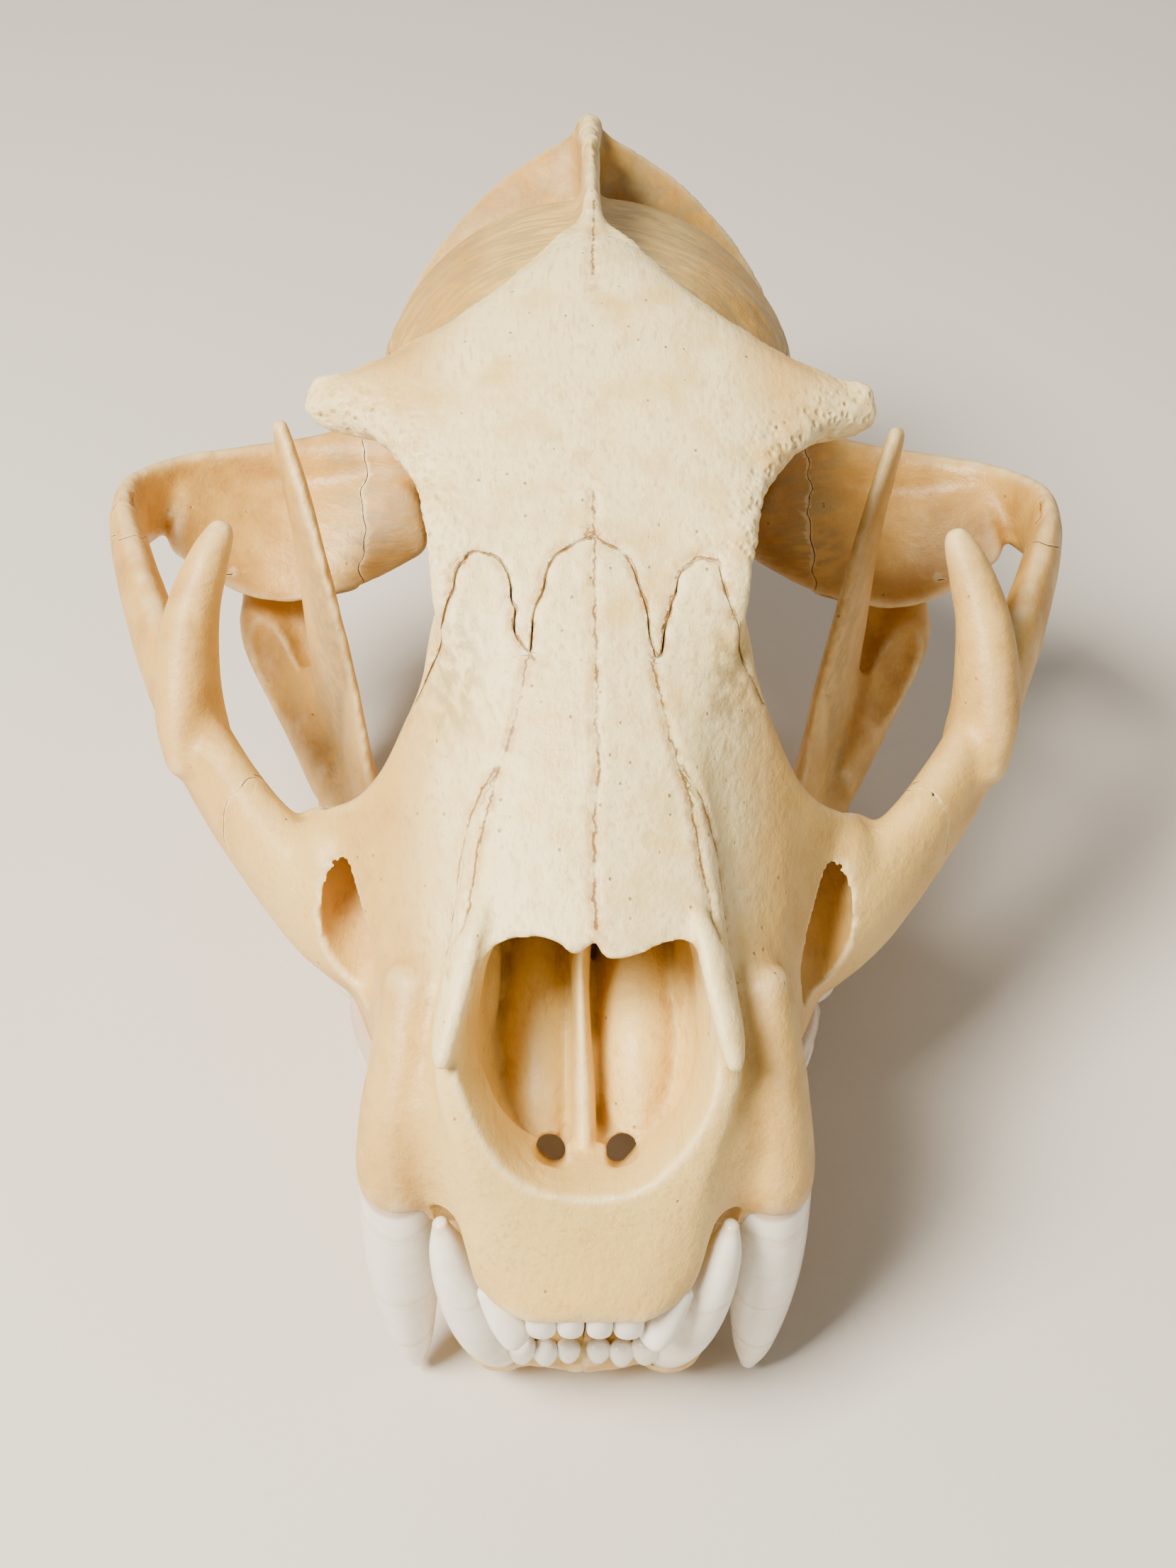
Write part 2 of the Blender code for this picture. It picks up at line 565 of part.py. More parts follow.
def half_jaw(name, side):
    """One half of the lower jaw with its incisors and cheek teeth."""
    bone = sweep(name, (
        (5.2, 9.5, -18, 4.8, 7.0), (6.6, 13, -20.6, 6.2, 10.2), (9.8, 20, -21.8, 6.4, 11.4),
        (14.2, 29, -22.6, 5.6, 11.4), (20.5, 43, -22.8, 5.0, 11.4), (26, 59, -22.8, 5.0, 11.4),
        (31.5, 76, -22.6, 4.9, 11.8), (36.8, 94, -21.6, 4.5, 12.8), (41.2, 109, -19, 4.0, 14.2),
        (44.4, 121, -13.5, 3.5, 13.4), (46.4, 131, -5.5, 3.4, 9.6),
    ), UP, side, ends=(0.4, 0.7))
    coronoid = (
        (38, 102, -10, 3.8, 14), (40.3, 106, 2, 3.4, 15), (42.2, 111, 15, 3.0, 12.4),
        (44, 115.5, 28, 2.7, 8.6),
        (45.8, 120, 38, 2.4, 5.4), (46.9, 123.4, 45, 2.0, 2.9),
    )
    flare = ((42, 101, -9, 2.4, 6), (48, 114, -5, 3.2, 6), (54, 127, 0, 4.4, 5), (55, 134, 3, 4.0, 4))
    condyle = ((40, 137, 6.0, 2.6, 2.8), (46, 137.5, 5.6, 3.4, 4.0), (52, 137.5, 5.4, 3.6, 4.2),
               (58, 136.5, 6.2, 2.8, 2.8))
    neck = ((46, 127, -8, 3.2, 9), (47.5, 132, -1, 3.4, 6), (49, 136.6, 4.4, 3.2, 4.4))
    angle = ((44, 126, -16, 3.0, 6.5), (46.6, 137, -13, 2.6, 4.6), (47.4, 144.5, -10.5, 1.8, 2.6))
    pieces = [
        sweep("coronoid", coronoid, (0.38, 0.92, 0), side),
        sweep("flare", flare, UP, side, sides=12),
        sweep("condyle", condyle, UP, side, sides=12),
        sweep("neck", neck, BACK, side, sides=12),
        ball("canine_root", (11.2, 10.2, -19.6), (6.6, 7.2, 9.2), side, turn=(12, -12, 0)),
        ball("chin", (3.6, 14.4, -21.4), (7, 9.6, 9.8), side, turn=(-24, 0, 0)),
        sweep("angle", angle, UP, side, sides=12),
    ]
    combine(bone, pieces, "UNION")
    fossa = ball("fossa", (50.6, 113, 7), (6.0, 14, 11), side, turn=(0, -6, -20))
    holes = [fossa, slab("symphysis", (-20 + GAP / 2, 20, -15), (40, 90, 90), side=side)]
    combine(bone, holes, "DIFFERENCE")
    skin(bone, *JAW_SKIN)
    combine(bone, lower_small_teeth(side), "UNION")
    thin_out(keep_largest(bone), JAW_TRIANGLES)
    trims = [slab("floor", (0, 60, -TOOTH_LINE - 10), (200, 300, 20), side=side),
             slab("midline", (-20 + GAP / 2, 20, -15), (40, 90, 90), side=side),
             lower_canine("socket", side, GAP)]
    combine(bone, trims, "DIFFERENCE")
    return keep_largest(bone)


def sheet(name, fold, width):
    """A thin folded plate across the skull, as thick as a suture's gap, through (y, z) places."""
    mesh = bmesh.new()
    fronts = [(y - GAP / 2, z) for y, z in fold]
    backs = [(y + GAP / 2, z) for y, z in reversed(fold)]
    loops = [[mesh.verts.new(seat((x, y, z))) for y, z in fronts + backs] for x in (-width / 2, width / 2)]
    count = len(fold)
    for loop in loops:
        for i in range(count - 1):
            mesh.faces.new((loop[i], loop[i + 1], loop[-i - 2], loop[-i - 1]))
    for i in range(2 * count):
        j = (i + 1) % (2 * count)
        mesh.faces.new((loops[0][i], loops[0][j], loops[1][j], loops[1][i]))
    bmesh.ops.recalc_face_normals(mesh, faces=mesh.faces)
    return object_of(name, mesh)


def part_cranium(whole):
    """Cuts the cranium along its sutures into the bones that main() names."""
    cuts = [sheet("front_suture", ((76, 88), (60.5, 36), (68.5, 22), (68.5, -16)), 90),
            sheet("back_suture", ((125, 92), (115, 32), (125.5, 14), (125.5, -12)), 70),
            sheet("occiput_suture", ((194, 90), (176, 26), (179, 14), (179, -20)), 90)]
    for side in SIDES.values():
        cuts.append(slab("cheek_front", (45, 66, 22), (34, GAP, 44), turn=(0, 0, -42), side=side))
        cuts.append(slab("cheek_back", (70, 116, 27), (24, GAP, 60), turn=(40, 0, 0), side=side))
        cuts.append(slab("temporal_root", (37, 141, 18), (GAP, 50, 50), side=side))
    return combine(whole, cuts, "DIFFERENCE")


def shells_of(thing, places):
    """One object for each closed surface of a mesh, named by the nearest of the named places."""
    whole = bmesh.new()
    whole.from_mesh(thing.data)
    left, found = set(whole.verts), {}
    while left:
        shell, edge = set(), [left.pop()]
        while edge:
            vertex = edge.pop()
            shell.add(vertex)
            near = {link.other_vert(vertex) for link in vertex.link_edges} & left
            left -= near
            edge.extend(near)
        middle = sum((vertex.co for vertex in shell), Vector()) / len(shell)
        name = min(places, key=lambda key: (seat(places[key]) - middle).length)
        if name not in found or len(shell) > len(found[name]):
            found[name] = shell
    for name, shell in found.items():
        one = bmesh.new()
        one.from_mesh(thing.data)
        one.verts.ensure_lookup_table()
        keep = {vertex.index for vertex in shell}
        others = [vertex for vertex in one.verts if vertex.index not in keep]
        bmesh.ops.delete(one, geom=others, context="VERTS")
        object_of(name, one)
    whole.free()
    bpy.data.objects.remove(thing)
    return [bpy.data.objects[name] for name in found]


def main():
    """Builds the skull, one named object for each of its parts."""
    clear_scene()
    finishes = {
        "bone_pale": material("bone_pale", (0.85, 0.74, 0.54), 0.5),
        "bone_warm": material("bone_warm", (0.79, 0.63, 0.40), 0.5),
        "bone_tan": material("bone_tan", (0.70, 0.52, 0.30), 0.55),
        "enamel": material("enamel", (0.86, 0.82, 0.74), 0.25),
    }
    places = {"snout": (0, 30, 18), "forehead": (0, 92, 48), "braincase": (0, 148, 40),
              "occiput": (0, 192, 30)}
    for name, side in SIDES.items():
        places["cheekbone_" + name] = (57 * side, 88, 26)
        places["temporal_" + name] = (60 * side, 136, 20)
    bones = shells_of(part_cranium(cranium()), places)
    bones += [half_jaw("jaw_" + name, side) for name, side in SIDES.items()]
    teeth = []
    for name, side in SIDES.items():
        teeth += [upper_canine("upper_canine_" + name, side), lower_canine("lower_canine_" + name, side)]
    for thing in bones + teeth:
        kind = thing.name.split("_")[0]
        finish = {"snout": "bone_pale", "forehead": "bone_pale", "temporal": "bone_tan", "upper": "enamel",
                  "lower": "enamel"}.get(kind, "bone_warm")
        thing.data.materials.clear()
        thing.data.materials.append(finishes[finish])


main()
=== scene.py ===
"""Looks of a cougar skull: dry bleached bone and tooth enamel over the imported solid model.

Places are given in skull millimetres: x sideways from the midline, y back from the front of the
upper incisor sockets, z up from the line of the upper tooth sockets. Paired shapes are written
for the side with positive x, the skull's own left. The bones are shaped in one piece, parted
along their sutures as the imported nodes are, and then dressed.
"""

import json
import logging
import math
from dataclasses import dataclass, field
from enum import Enum
from itertools import product

import bmesh
import bpy
import numpy as np
from mathutils import Matrix, Vector
from mathutils.bvhtree import BVHTree
from mathutils.kdtree import KDTree


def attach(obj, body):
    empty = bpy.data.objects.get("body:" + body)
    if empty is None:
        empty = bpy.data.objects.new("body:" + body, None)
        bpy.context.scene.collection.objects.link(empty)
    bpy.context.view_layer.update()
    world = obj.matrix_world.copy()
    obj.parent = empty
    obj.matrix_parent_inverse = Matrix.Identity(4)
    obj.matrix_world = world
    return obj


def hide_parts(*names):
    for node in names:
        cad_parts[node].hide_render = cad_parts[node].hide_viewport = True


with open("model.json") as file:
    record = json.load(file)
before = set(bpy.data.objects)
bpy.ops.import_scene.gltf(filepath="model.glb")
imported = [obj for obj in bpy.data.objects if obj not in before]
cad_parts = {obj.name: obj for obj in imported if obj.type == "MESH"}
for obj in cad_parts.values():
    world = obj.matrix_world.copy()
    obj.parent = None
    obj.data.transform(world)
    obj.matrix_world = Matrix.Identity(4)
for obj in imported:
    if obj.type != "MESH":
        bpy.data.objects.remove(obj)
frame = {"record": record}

LOG = logging.getLogger("skull")
MM = 0.001
SKULL_LENGTH = 208.5
FRONT_OVERHANG = 3.6
TOOTH_LINE = 33.0
SEAT_SHIFT = (0.0, FRONT_OVERHANG - SKULL_LENGTH / 2, TOOTH_LINE)

UP = (0.0, 0.0, 1.0)
BACK = (0.0, 1.0, 0.0)
Rows = tuple[tuple[float, ...], ...]

# Where the fan of the chewing muscle's streaks starts, as y and z, and the radius that its angles are read at.
FAN_START = (98.0, 20.0)
FAN_RADIUS = 62.0
# Rings that round off each end of a limb, and the angle from one to the next.
CAP_RINGS = 4
CAP_TURN = 0.36


class Side(Enum):
    """The skull's own left and right, as the sign of x."""

    LEFT = 1.0
    RIGHT = -1.0

    @property
    def word(self) -> str:
        """The side's word in a piece's name."""
        return self.name.lower()


def seat(places: np.ndarray) -> np.ndarray:
    """Turns skull millimetres into metres of the frame.

    Args:
        places: one place or many, as the last axis of an array.

    Returns:
        The places in metres.
    """
    return (np.asarray(places, float) + np.array(SEAT_SHIFT)) * MM


def unseat(places: np.ndarray) -> np.ndarray:
    """Turns metres of the frame into skull millimetres.

    Args:
        places: places in metres, as the last axis of an array.

    Returns:
        The places in skull millimetres.
    """
    return np.asarray(places, float) / MM - np.array(SEAT_SHIFT)


def ease(value: np.ndarray, low: float, high: float) -> np.ndarray:
    """Rises smoothly from 0 at low to 1 at high, or falls where low is above high.

    Args:
        value: what is read.
        low: where the result is 0.
        high: where the result is 1.

    Returns:
        The eased values, from 0 to 1.
    """
    share = np.clip((value - low) / (high - low), 0.0, 1.0)
    return share * share * (3.0 - 2.0 * share)


def unit(ways: np.ndarray) -> np.ndarray:
    """The same directions with a length of one."""
    return ways / np.linalg.norm(ways, axis=1)[:, None]


def smooth_run(knots: np.ndarray, steps: int) -> np.ndarray:
    """Reads a smooth curve through its knots.

    Args:
        knots: the values that it passes through, one row each.
        steps: how many points each span has.

    Returns:
        The points, with both ends.
    """
    knots = np.asarray(knots, float)
    slopes = np.gradient(knots, axis=0)
    t = (np.arange(steps) / steps)[None, :, None]
    start, end = knots[:-1, None], knots[1:, None]
    slope_in, slope_out = slopes[:-1, None], slopes[1:, None]
    run = ((2 * t**3 - 3 * t**2 + 1) * start + (t**3 - 2 * t**2 + t) * slope_in
           + (3 * t**2 - 2 * t**3) * end + (t**3 - t**2) * slope_out)
    return np.vstack((run.reshape(-1, knots.shape[1]), knots[-1]))


def along_y(knots: Rows, stations: np.ndarray) -> np.ndarray:
    """Reads rows that start with y on a smooth curve.

    Args:
        knots: rows of y and other values.
        stations: the y places wanted.

    Returns:
        The other values at each station.
    """
    table = np.asarray(knots, float)
    y, values = table[:, 0], table[:, 1:]
    slopes = np.gradient(values, y, axis=0)
    span = np.clip(np.searchsorted(y, stations, side="right") - 1, 0, len(y) - 2)
    width = (y[span + 1] - y[span])[:, None]
    t = (stations - y[span])[:, None] / width
    return ((2 * t**3 - 3 * t**2 + 1) * values[span] + (t**3 - 2 * t**2 + t) * width * slopes[span]
            + (3 * t**2 - 2 * t**3) * values[span + 1] + (t**3 - t**2) * width * slopes[span + 1])


def closed_through(points: list | Rows, steps: int) -> np.ndarray:
    """Reads a smooth closed curve through points.

    Args:
        points: the points in order round the curve.
        steps: how many points each span has.

    Returns:
        The points once round.
    """
    start = np.asarray(points, float)
    end = np.roll(start, -1, axis=0)
    slopes = (end - np.roll(start, 1, axis=0)) / 2
    slope_out = np.roll(slopes, -1, axis=0)
    t = (np.arange(steps) / steps)[None, :, None]
    run = ((2 * t**3 - 3 * t**2 + 1) * start[:, None] + (t**3 - 2 * t**2 + t) * slopes[:, None]
           + (3 * t**2 - 2 * t**3) * end[:, None] + (t**3 - t**2) * slope_out[:, None])
    return run.reshape(-1, start.shape[1])


def evenly(places: np.ndarray, spacing: float) -> tuple[np.ndarray, np.ndarray]:
    """Reads a run of places at even distances.

    Args:
        places: the places in order.
        spacing: the distance wanted.

    Returns:
        How far along the run each new place is, and the new places.
    """
    way = np.concatenate(([0], np.cumsum(np.linalg.norm(np.diff(places, axis=0), axis=1))))
    even = np.arange(0, way[-1], spacing)
    return even, np.column_stack([np.interp(even, way, column) for column in places.T])


def smooth_between(fold: tuple, steps: int) -> np.ndarray:
    """Even places along straight runs.

    Args:
        fold: the corners.
        steps: how many places each run has.

    Returns:
        The places, with both ends.
    """
    corners = np.array(fold, float)
    runs = [np.linspace(a, b, steps, endpoint=False) for a, b in zip(corners, corners[1:])]
    return np.vstack(runs + [corners[-1:]])


def hashed(cells: np.ndarray, seed: int) -> np.ndarray:
    """Gives each whole-number cell its own draw.

    Args:
        cells: whole numbers, as the last axis of an array.
        seed: which set of draws.

    Returns:
        Numbers from -1 to 1.
    """
    mixed = np.full(cells.shape[:-1], seed * 2654435761 % 2**32, dtype=np.uint64)
    for axis, factor in enumerate((73856093, 19349663, 83492791)):
        mixed ^= (cells[..., axis].astype(np.int64) * factor).astype(np.uint64) & 0xFFFFFFFF
    mixed = (mixed ^ (mixed >> 15)) * 2246822519 & 0xFFFFFFFF
    mixed = (mixed ^ (mixed >> 13)) * 3266489917 & 0xFFFFFFFF
    return (mixed ^ (mixed >> 16)) / 2**31 - 1.0


def swell(places: np.ndarray, size: float, seed: int) -> np.ndarray:
    """Smooth rises and falls that vary over about a given size.

    Args:
        places: places in millimetres.
        size: the spacing of the draws, in millimetres.
        seed: which set of draws.

    Returns:
        Values from -1 to 1.
    """
    grid = places / size
    cell = np.floor(grid).astype(np.int64)
    t = grid - cell
    t = t * t * (3.0 - 2.0 * t)
    total = np.zeros(len(places))
    for corner in product((0, 1), repeat=3):
        weight = np.prod(np.where(np.array(corner) == 1, t, 1.0 - t), axis=1)
        total += weight * hashed(cell + np.array(corner), seed)
    return total


def beads(places: np.ndarray, size: float, seed: int) -> np.ndarray:
    """Rounded grains packed side by side.

    Args:
        places: places in millimetres.
        size: the grains' spacing, in millimetres.
        seed: which set of draws.

    Returns:
        Values from 0 between grains to 1 on top of one.
    """
    grid = places / size
    cell = np.floor(grid).astype(np.int64)
    nearest = np.full(len(places), 9.0)
    for corner in product((-1, 0, 1), repeat=3):
        near = cell + np.array(corner)
        centre = near + 0.5 + 0.38 * np.stack([hashed(near, seed + k) for k in range(3)], axis=1)
        nearest = np.minimum(nearest, ((grid - centre) ** 2).sum(axis=1))
    return np.clip(1.0 - nearest / 0.6, 0.0, 1.0)


def linked(name: str, data: bpy.types.ID) -> bpy.types.Object:
    """Puts a mesh, lamp or camera in the scene.

    Args:
        name: the object's name.
        data: what it shows.

    Returns:
        The object.
    """
    thing = bpy.data.objects.new(name, data)
    bpy.context.scene.collection.objects.link(thing)
    return thing


def stored(name: str, mesh: bmesh.types.BMesh) -> bpy.types.Object:
    """Makes an object of a mesh that was being edited, and frees that.

    Args:
        name: the object's name.
        mesh: the mesh.

    Returns:
        The object.
    """
    data = bpy.data.meshes.new(name)
    mesh.to_mesh(data)
    mesh.free()
    return linked(name, data)


def joined(name: str, things: list) -> bpy.types.Object:
    """Puts the meshes of several objects into one object.

    Args:
        name: the object's name.
        things: the objects, which are removed.

    Returns:
        The object.
    """
    mesh = bmesh.new()
    for thing in things:
        mesh.from_mesh(thing.data)
    for thing in things:
        bpy.data.objects.remove(thing)
    return stored(name, mesh)


def object_of_rings(name: str, rings: list) -> bpy.types.Object:
    """Skins rings of points into a closed mesh object.

    Args:
        name: the object's name.
        rings: rings of as many points each, in skull millimetres.

    Returns:
        The object.
    """
    loops = seat(np.array(rings))
    count, around = loops.shape[:2]
    ends = loops[[0, -1]].mean(axis=1)
    points = np.vstack((loops.reshape(-1, 3), ends))
    faces = []
    for ring in range(count - 1):
        for i in range(around):
            j = (i + 1) % around
            faces.append((ring * around + i, ring * around + j, (ring + 1) * around + j, (ring + 1) * around + i))
    for base, middle in ((0, count * around), ((count - 1) * around, count * around + 1)):
        faces += [(base + i, base + (i + 1) % around, middle) for i in range(around)]
    data = bpy.data.meshes.new(name)
    data.from_pydata(points.tolist(), [], faces)
    # The faces are turned outwards.
    mesh = bmesh.new()
    mesh.from_mesh(data)
    bmesh.ops.recalc_face_normals(mesh, faces=mesh.faces)
    mesh.to_mesh(data)
    mesh.free()
    return linked(name, data)


def ridge_loft(name: str, ridges: tuple, spacing: float = 1.5, across: int = 6) -> bpy.types.Object:
    """A body through ridge lines, the same on both sides of the midline.

    Args:
        name: the object's name.
        ridges: lines of (y, x, z) from the upper midline round to the lower one.
        spacing: distance between cross-sections.
        across: points between ridges.

    Returns:
        The object.
    """
    first, last = ridges[0][0][0], ridges[0][-1][0]
    stations = np.linspace(first, last, int((last - first) / spacing) + 1)
    lines = [along_y(ridge, stations) for ridge in ridges]
    rings = []
    for n, y in enumerate(stations):
        half = [tuple(line[n]) for line in lines]
        section = closed_through(half + [(-x, z) for x, z in half[-2:0:-1]], across)
        rings.append(np.column_stack((section[:, 0], np.full(len(section), y), section[:, 1])))
    return object_of_rings(name, rings)


def egg_loft(name: str, rows: Rows, spacing: float = 1.5, sides: int = 64) -> bpy.types.Object:
    """A body along y with egg-shaped cross-sections.

    Args:
        name: the object's name.
        rows: y, half width, top, height of the widest part and bottom.
        spacing: distance between cross-sections.
        sides: points round each.

    Returns:
        The object.
    """
    stations = np.linspace(rows[0][0], rows[-1][0], int((rows[-1][0] - rows[0][0]) / spacing) + 1)
    turn = np.linspace(0, 2 * math.pi, sides, endpoint=False)
    rings = []
    for y, (half, top, middle, bottom) in zip(stations, along_y(rows, stations)):
        rise = np.sin(turn)
        reach = np.where(rise > 0, top - middle, middle - bottom)
        rings.append(np.column_stack((half * np.cos(turn), np.full(sides, y), middle + reach * rise)))
    return object_of_rings(name, rings)


def sweep(name: str, rows: Rows, towards: tuple, side: float = 1.0, steps: int = 6, sides: int = 24,
          ends: tuple[float, float] = (0.7, 0.7)) -> bpy.types.Object:
    """A limb along a path, with rounded ends.

    Args:
        name: the object's name.
        rows: x, y, z, half thickness and half depth along the path.
        towards: the way that the depth lies, as near as the path allows.
        side: 1 for the left, -1 for the right.
        steps: cross-sections in each span.
        sides: points round each.
        ends: how far each end is rounded off, as a share of its smaller half size.

    Returns:
        The object.
    """
    run = smooth_run(rows, steps)
    places, sizes = run[:, :3] * (side, 1, 1), run[:, 3:]
    ways = unit(np.gradient(places, axis=0))
    towards = np.array(towards) * (side, 1, 1)
    deeps = unit(towards - ways * (ways @ towards)[:, None])
    thicks = np.cross(ways, deeps)
    turns = np.linspace(0, 2 * math.pi, sides, endpoint=False)
    rings = []
    for n in range(-CAP_RINGS, len(places) + CAP_RINGS):
        k = min(max(n, 0), len(places) - 1)
        beyond = n - k
        angle = abs(beyond) * CAP_TURN
        reach = sizes[k].min() * ends[0 if beyond < 0 else 1] * math.sin(angle) * (1 if beyond > 0 else -1)
        centre = places[k] + ways[k] * (reach if beyond else 0.0)
        size = sizes[k] * math.cos(angle)
        rings.append(centre + np.outer(np.cos(turns), thicks[k] * size[0])
                     + np.outer(np.sin(turns), deeps[k] * size[1]))
    return object_of_rings(name, rings)


def turned(turn: tuple, side: float) -> Matrix:
    """The rotation by angles about x, y and z in degrees, mirrored for the right side."""
    tilt, lean, yaw = (math.radians(angle) for angle in turn)
    return (Matrix.Rotation(yaw * side, 4, "Z") @ Matrix.Rotation(lean * side, 4, "Y")
            @ Matrix.Rotation(tilt, 4, "X"))


def placed(name: str, mesh: bmesh.types.BMesh, centre: tuple, sizes: tuple, side: float,
           turn: tuple) -> bpy.types.Object:
    """Sizes, turns and places a mesh that stands on the origin.

    Args:
        name: the object's name.
        mesh: the mesh, which is freed.
        centre: where it goes.
        sizes: how much longer it gets along x, y and z.
        side: 1 for the left, -1 for the right.
        turn: angles about x, y and z, in degrees.

    Returns:
        The object.
    """
    size = Matrix.Diagonal((*[length * MM for length in sizes], 1))
    x, y, z = centre
    mesh.transform(Matrix.Translation(Vector(seat((x * side, y, z)))) @ turned(turn, side) @ size)
    return stored(name, mesh)


def ball(name: str, centre: tuple, radii: tuple, side: float = 1.0, turn: tuple = (0, 0, 0)) -> bpy.types.Object:
    """An ellipsoid.

    Args:
        name: the object's name.
        centre: its centre.
        radii: its three radii.
        side: 1 for the left, -1 for the right.
        turn: angles about x, y and z, in degrees.

    Returns:
        The object.
    """
    mesh = bmesh.new()
    bmesh.ops.create_uvsphere(mesh, u_segments=32, v_segments=16, radius=1)
    return placed(name, mesh, centre, radii, side, turn)


def slab(name: str, centre: tuple, sizes: tuple, side: float) -> bpy.types.Object:
    """A level box.

    Args:
        name: the object's name.
        centre: its centre.
        sizes: its full sizes.
        side: 1 for the left, -1 for the right.

    Returns:
        The object.
    """
    mesh = bmesh.new()
    bmesh.ops.create_cube(mesh, size=1)
    return placed(name, mesh, centre, sizes, side, (0, 0, 0))


def plate(name: str, middle: np.ndarray, across: np.ndarray, thick: float) -> bpy.types.Object:
    """A thin curved sheet.

    Args:
        name: the object's name.
        middle: a grid of places on its middle surface, rows by columns by three.
        across: the way through the sheet at each place, as unit lengths.
        thick: its thickness.

    Returns:
        The object.
    """
    rows, columns = middle.shape[:2]
    rings = []
    for k in range(columns):
        front = middle[:, k] - across[:, k] * thick / 2
        back = middle[::-1, k] + across[::-1, k] * thick / 2
        rings.append(np.vstack((front, back)))
    return object_of_rings(name, rings)


def applied(thing: bpy.types.Object) -> bpy.types.Object:
    """Puts the evaluated mesh in place of an object's own and drops its modifiers.

    Args:
        thing: the object.

    Returns:
        The same object.
    """
    graph = bpy.context.evaluated_depsgraph_get()
    made = bpy.data.meshes.new_from_object(thing.evaluated_get(graph))
    thing.modifiers.clear()
    thing.data = made
    return thing


def places_of(data: bpy.types.Mesh) -> np.ndarray:
    """The places of a mesh's vertices, in skull millimetres."""
    flat = np.empty(len(data.vertices) * 3)
    data.vertices.foreach_get("co", flat)
    return unseat(flat.reshape(-1, 3))


def normals_of(data: bpy.types.Mesh) -> np.ndarray:
    """The unit normals of a mesh's vertices."""
    flat = np.empty(len(data.vertices) * 3, dtype=np.float32)
    data.vertices.foreach_get("normal", flat)
    return flat.reshape(-1, 3).astype(float)


def triangles_of(data: bpy.types.Mesh) -> int:
    """How many triangles a mesh's faces make."""
    return sum(polygon.loop_total - 2 for polygon in data.polygons)


def put_places(data: bpy.types.Mesh, places: np.ndarray) -> None:
    """Moves a mesh's vertices to these places, in skull millimetres."""
    data.vertices.foreach_set("co", seat(places).ravel())
    data.update()


def put_values(data: bpy.types.Mesh, name: str, values: np.ndarray) -> None:
    """Stores one value or one vector for each vertex.

    Args:
        data: the mesh.
        name: the attribute's name.
        values: one number or three for each vertex.
    """
    kind, key = ("FLOAT", "value") if values.ndim == 1 else ("FLOAT_VECTOR", "vector")
    made = data.attributes.new(name, kind, "POINT")
    made.data.foreach_set(key, np.ascontiguousarray(values, dtype=np.float32).ravel())


def shells_of(data: bpy.types.Mesh) -> np.ndarray:
    """Numbers the closed surfaces of a mesh.

    Args:
        data: the mesh.

    Returns:
        The number of each vertex's surface, which is its lowest vertex.
    """
    edges = np.empty(len(data.edges) * 2, dtype=np.int32)
    data.edges.foreach_get("vertices", edges)
    first, second = edges.reshape(-1, 2).T
    label = np.arange(len(data.vertices))
    while True:
        lower = np.minimum(label[first], label[second])
        fresh = label.copy()
        np.minimum.at(fresh, first, lower)
        np.minimum.at(fresh, second, lower)
        fresh = fresh[fresh]
        if (fresh == label).all():
            return label
        label = fresh


def shell_mesh(data: bpy.types.Mesh, keep: np.ndarray, name: str) -> bpy.types.Mesh:
    """Copies the faces whose vertices are kept into a mesh of their own.

    Args:
        data: the mesh.
        keep: whether each vertex is kept.
        name: the new mesh's name.

    Returns:
        The new mesh.
    """
    corners = np.empty(len(data.loops), dtype=np.int32)
    data.loops.foreach_get("vertex_index", corners)
    starts = np.empty(len(data.polygons), dtype=np.int32)
    totals = np.empty(len(data.polygons), dtype=np.int32)
    data.polygons.foreach_get("loop_start", starts)
    data.polygons.foreach_get("loop_total", totals)
    kept_faces = keep[corners[starts]]
    corners = corners[np.repeat(kept_faces, totals)]
    totals = totals[kept_faces]
    number = np.cumsum(keep) - 1
    flat = np.empty(len(data.vertices) * 3)
    data.vertices.foreach_get("co", flat)
    made = bpy.data.meshes.new(name)
    made.vertices.add(int(keep.sum()))
    made.vertices.foreach_set("co", flat.reshape(-1, 3)[keep].ravel())
    made.loops.add(len(corners))
    made.loops.foreach_set("vertex_index", number[corners].astype(np.int32))
    made.polygons.add(len(totals))
    made.polygons.foreach_set("loop_start", (np.cumsum(totals) - totals).astype(np.int32))
    made.update(calc_edges=True)
    made.validate()
    return made


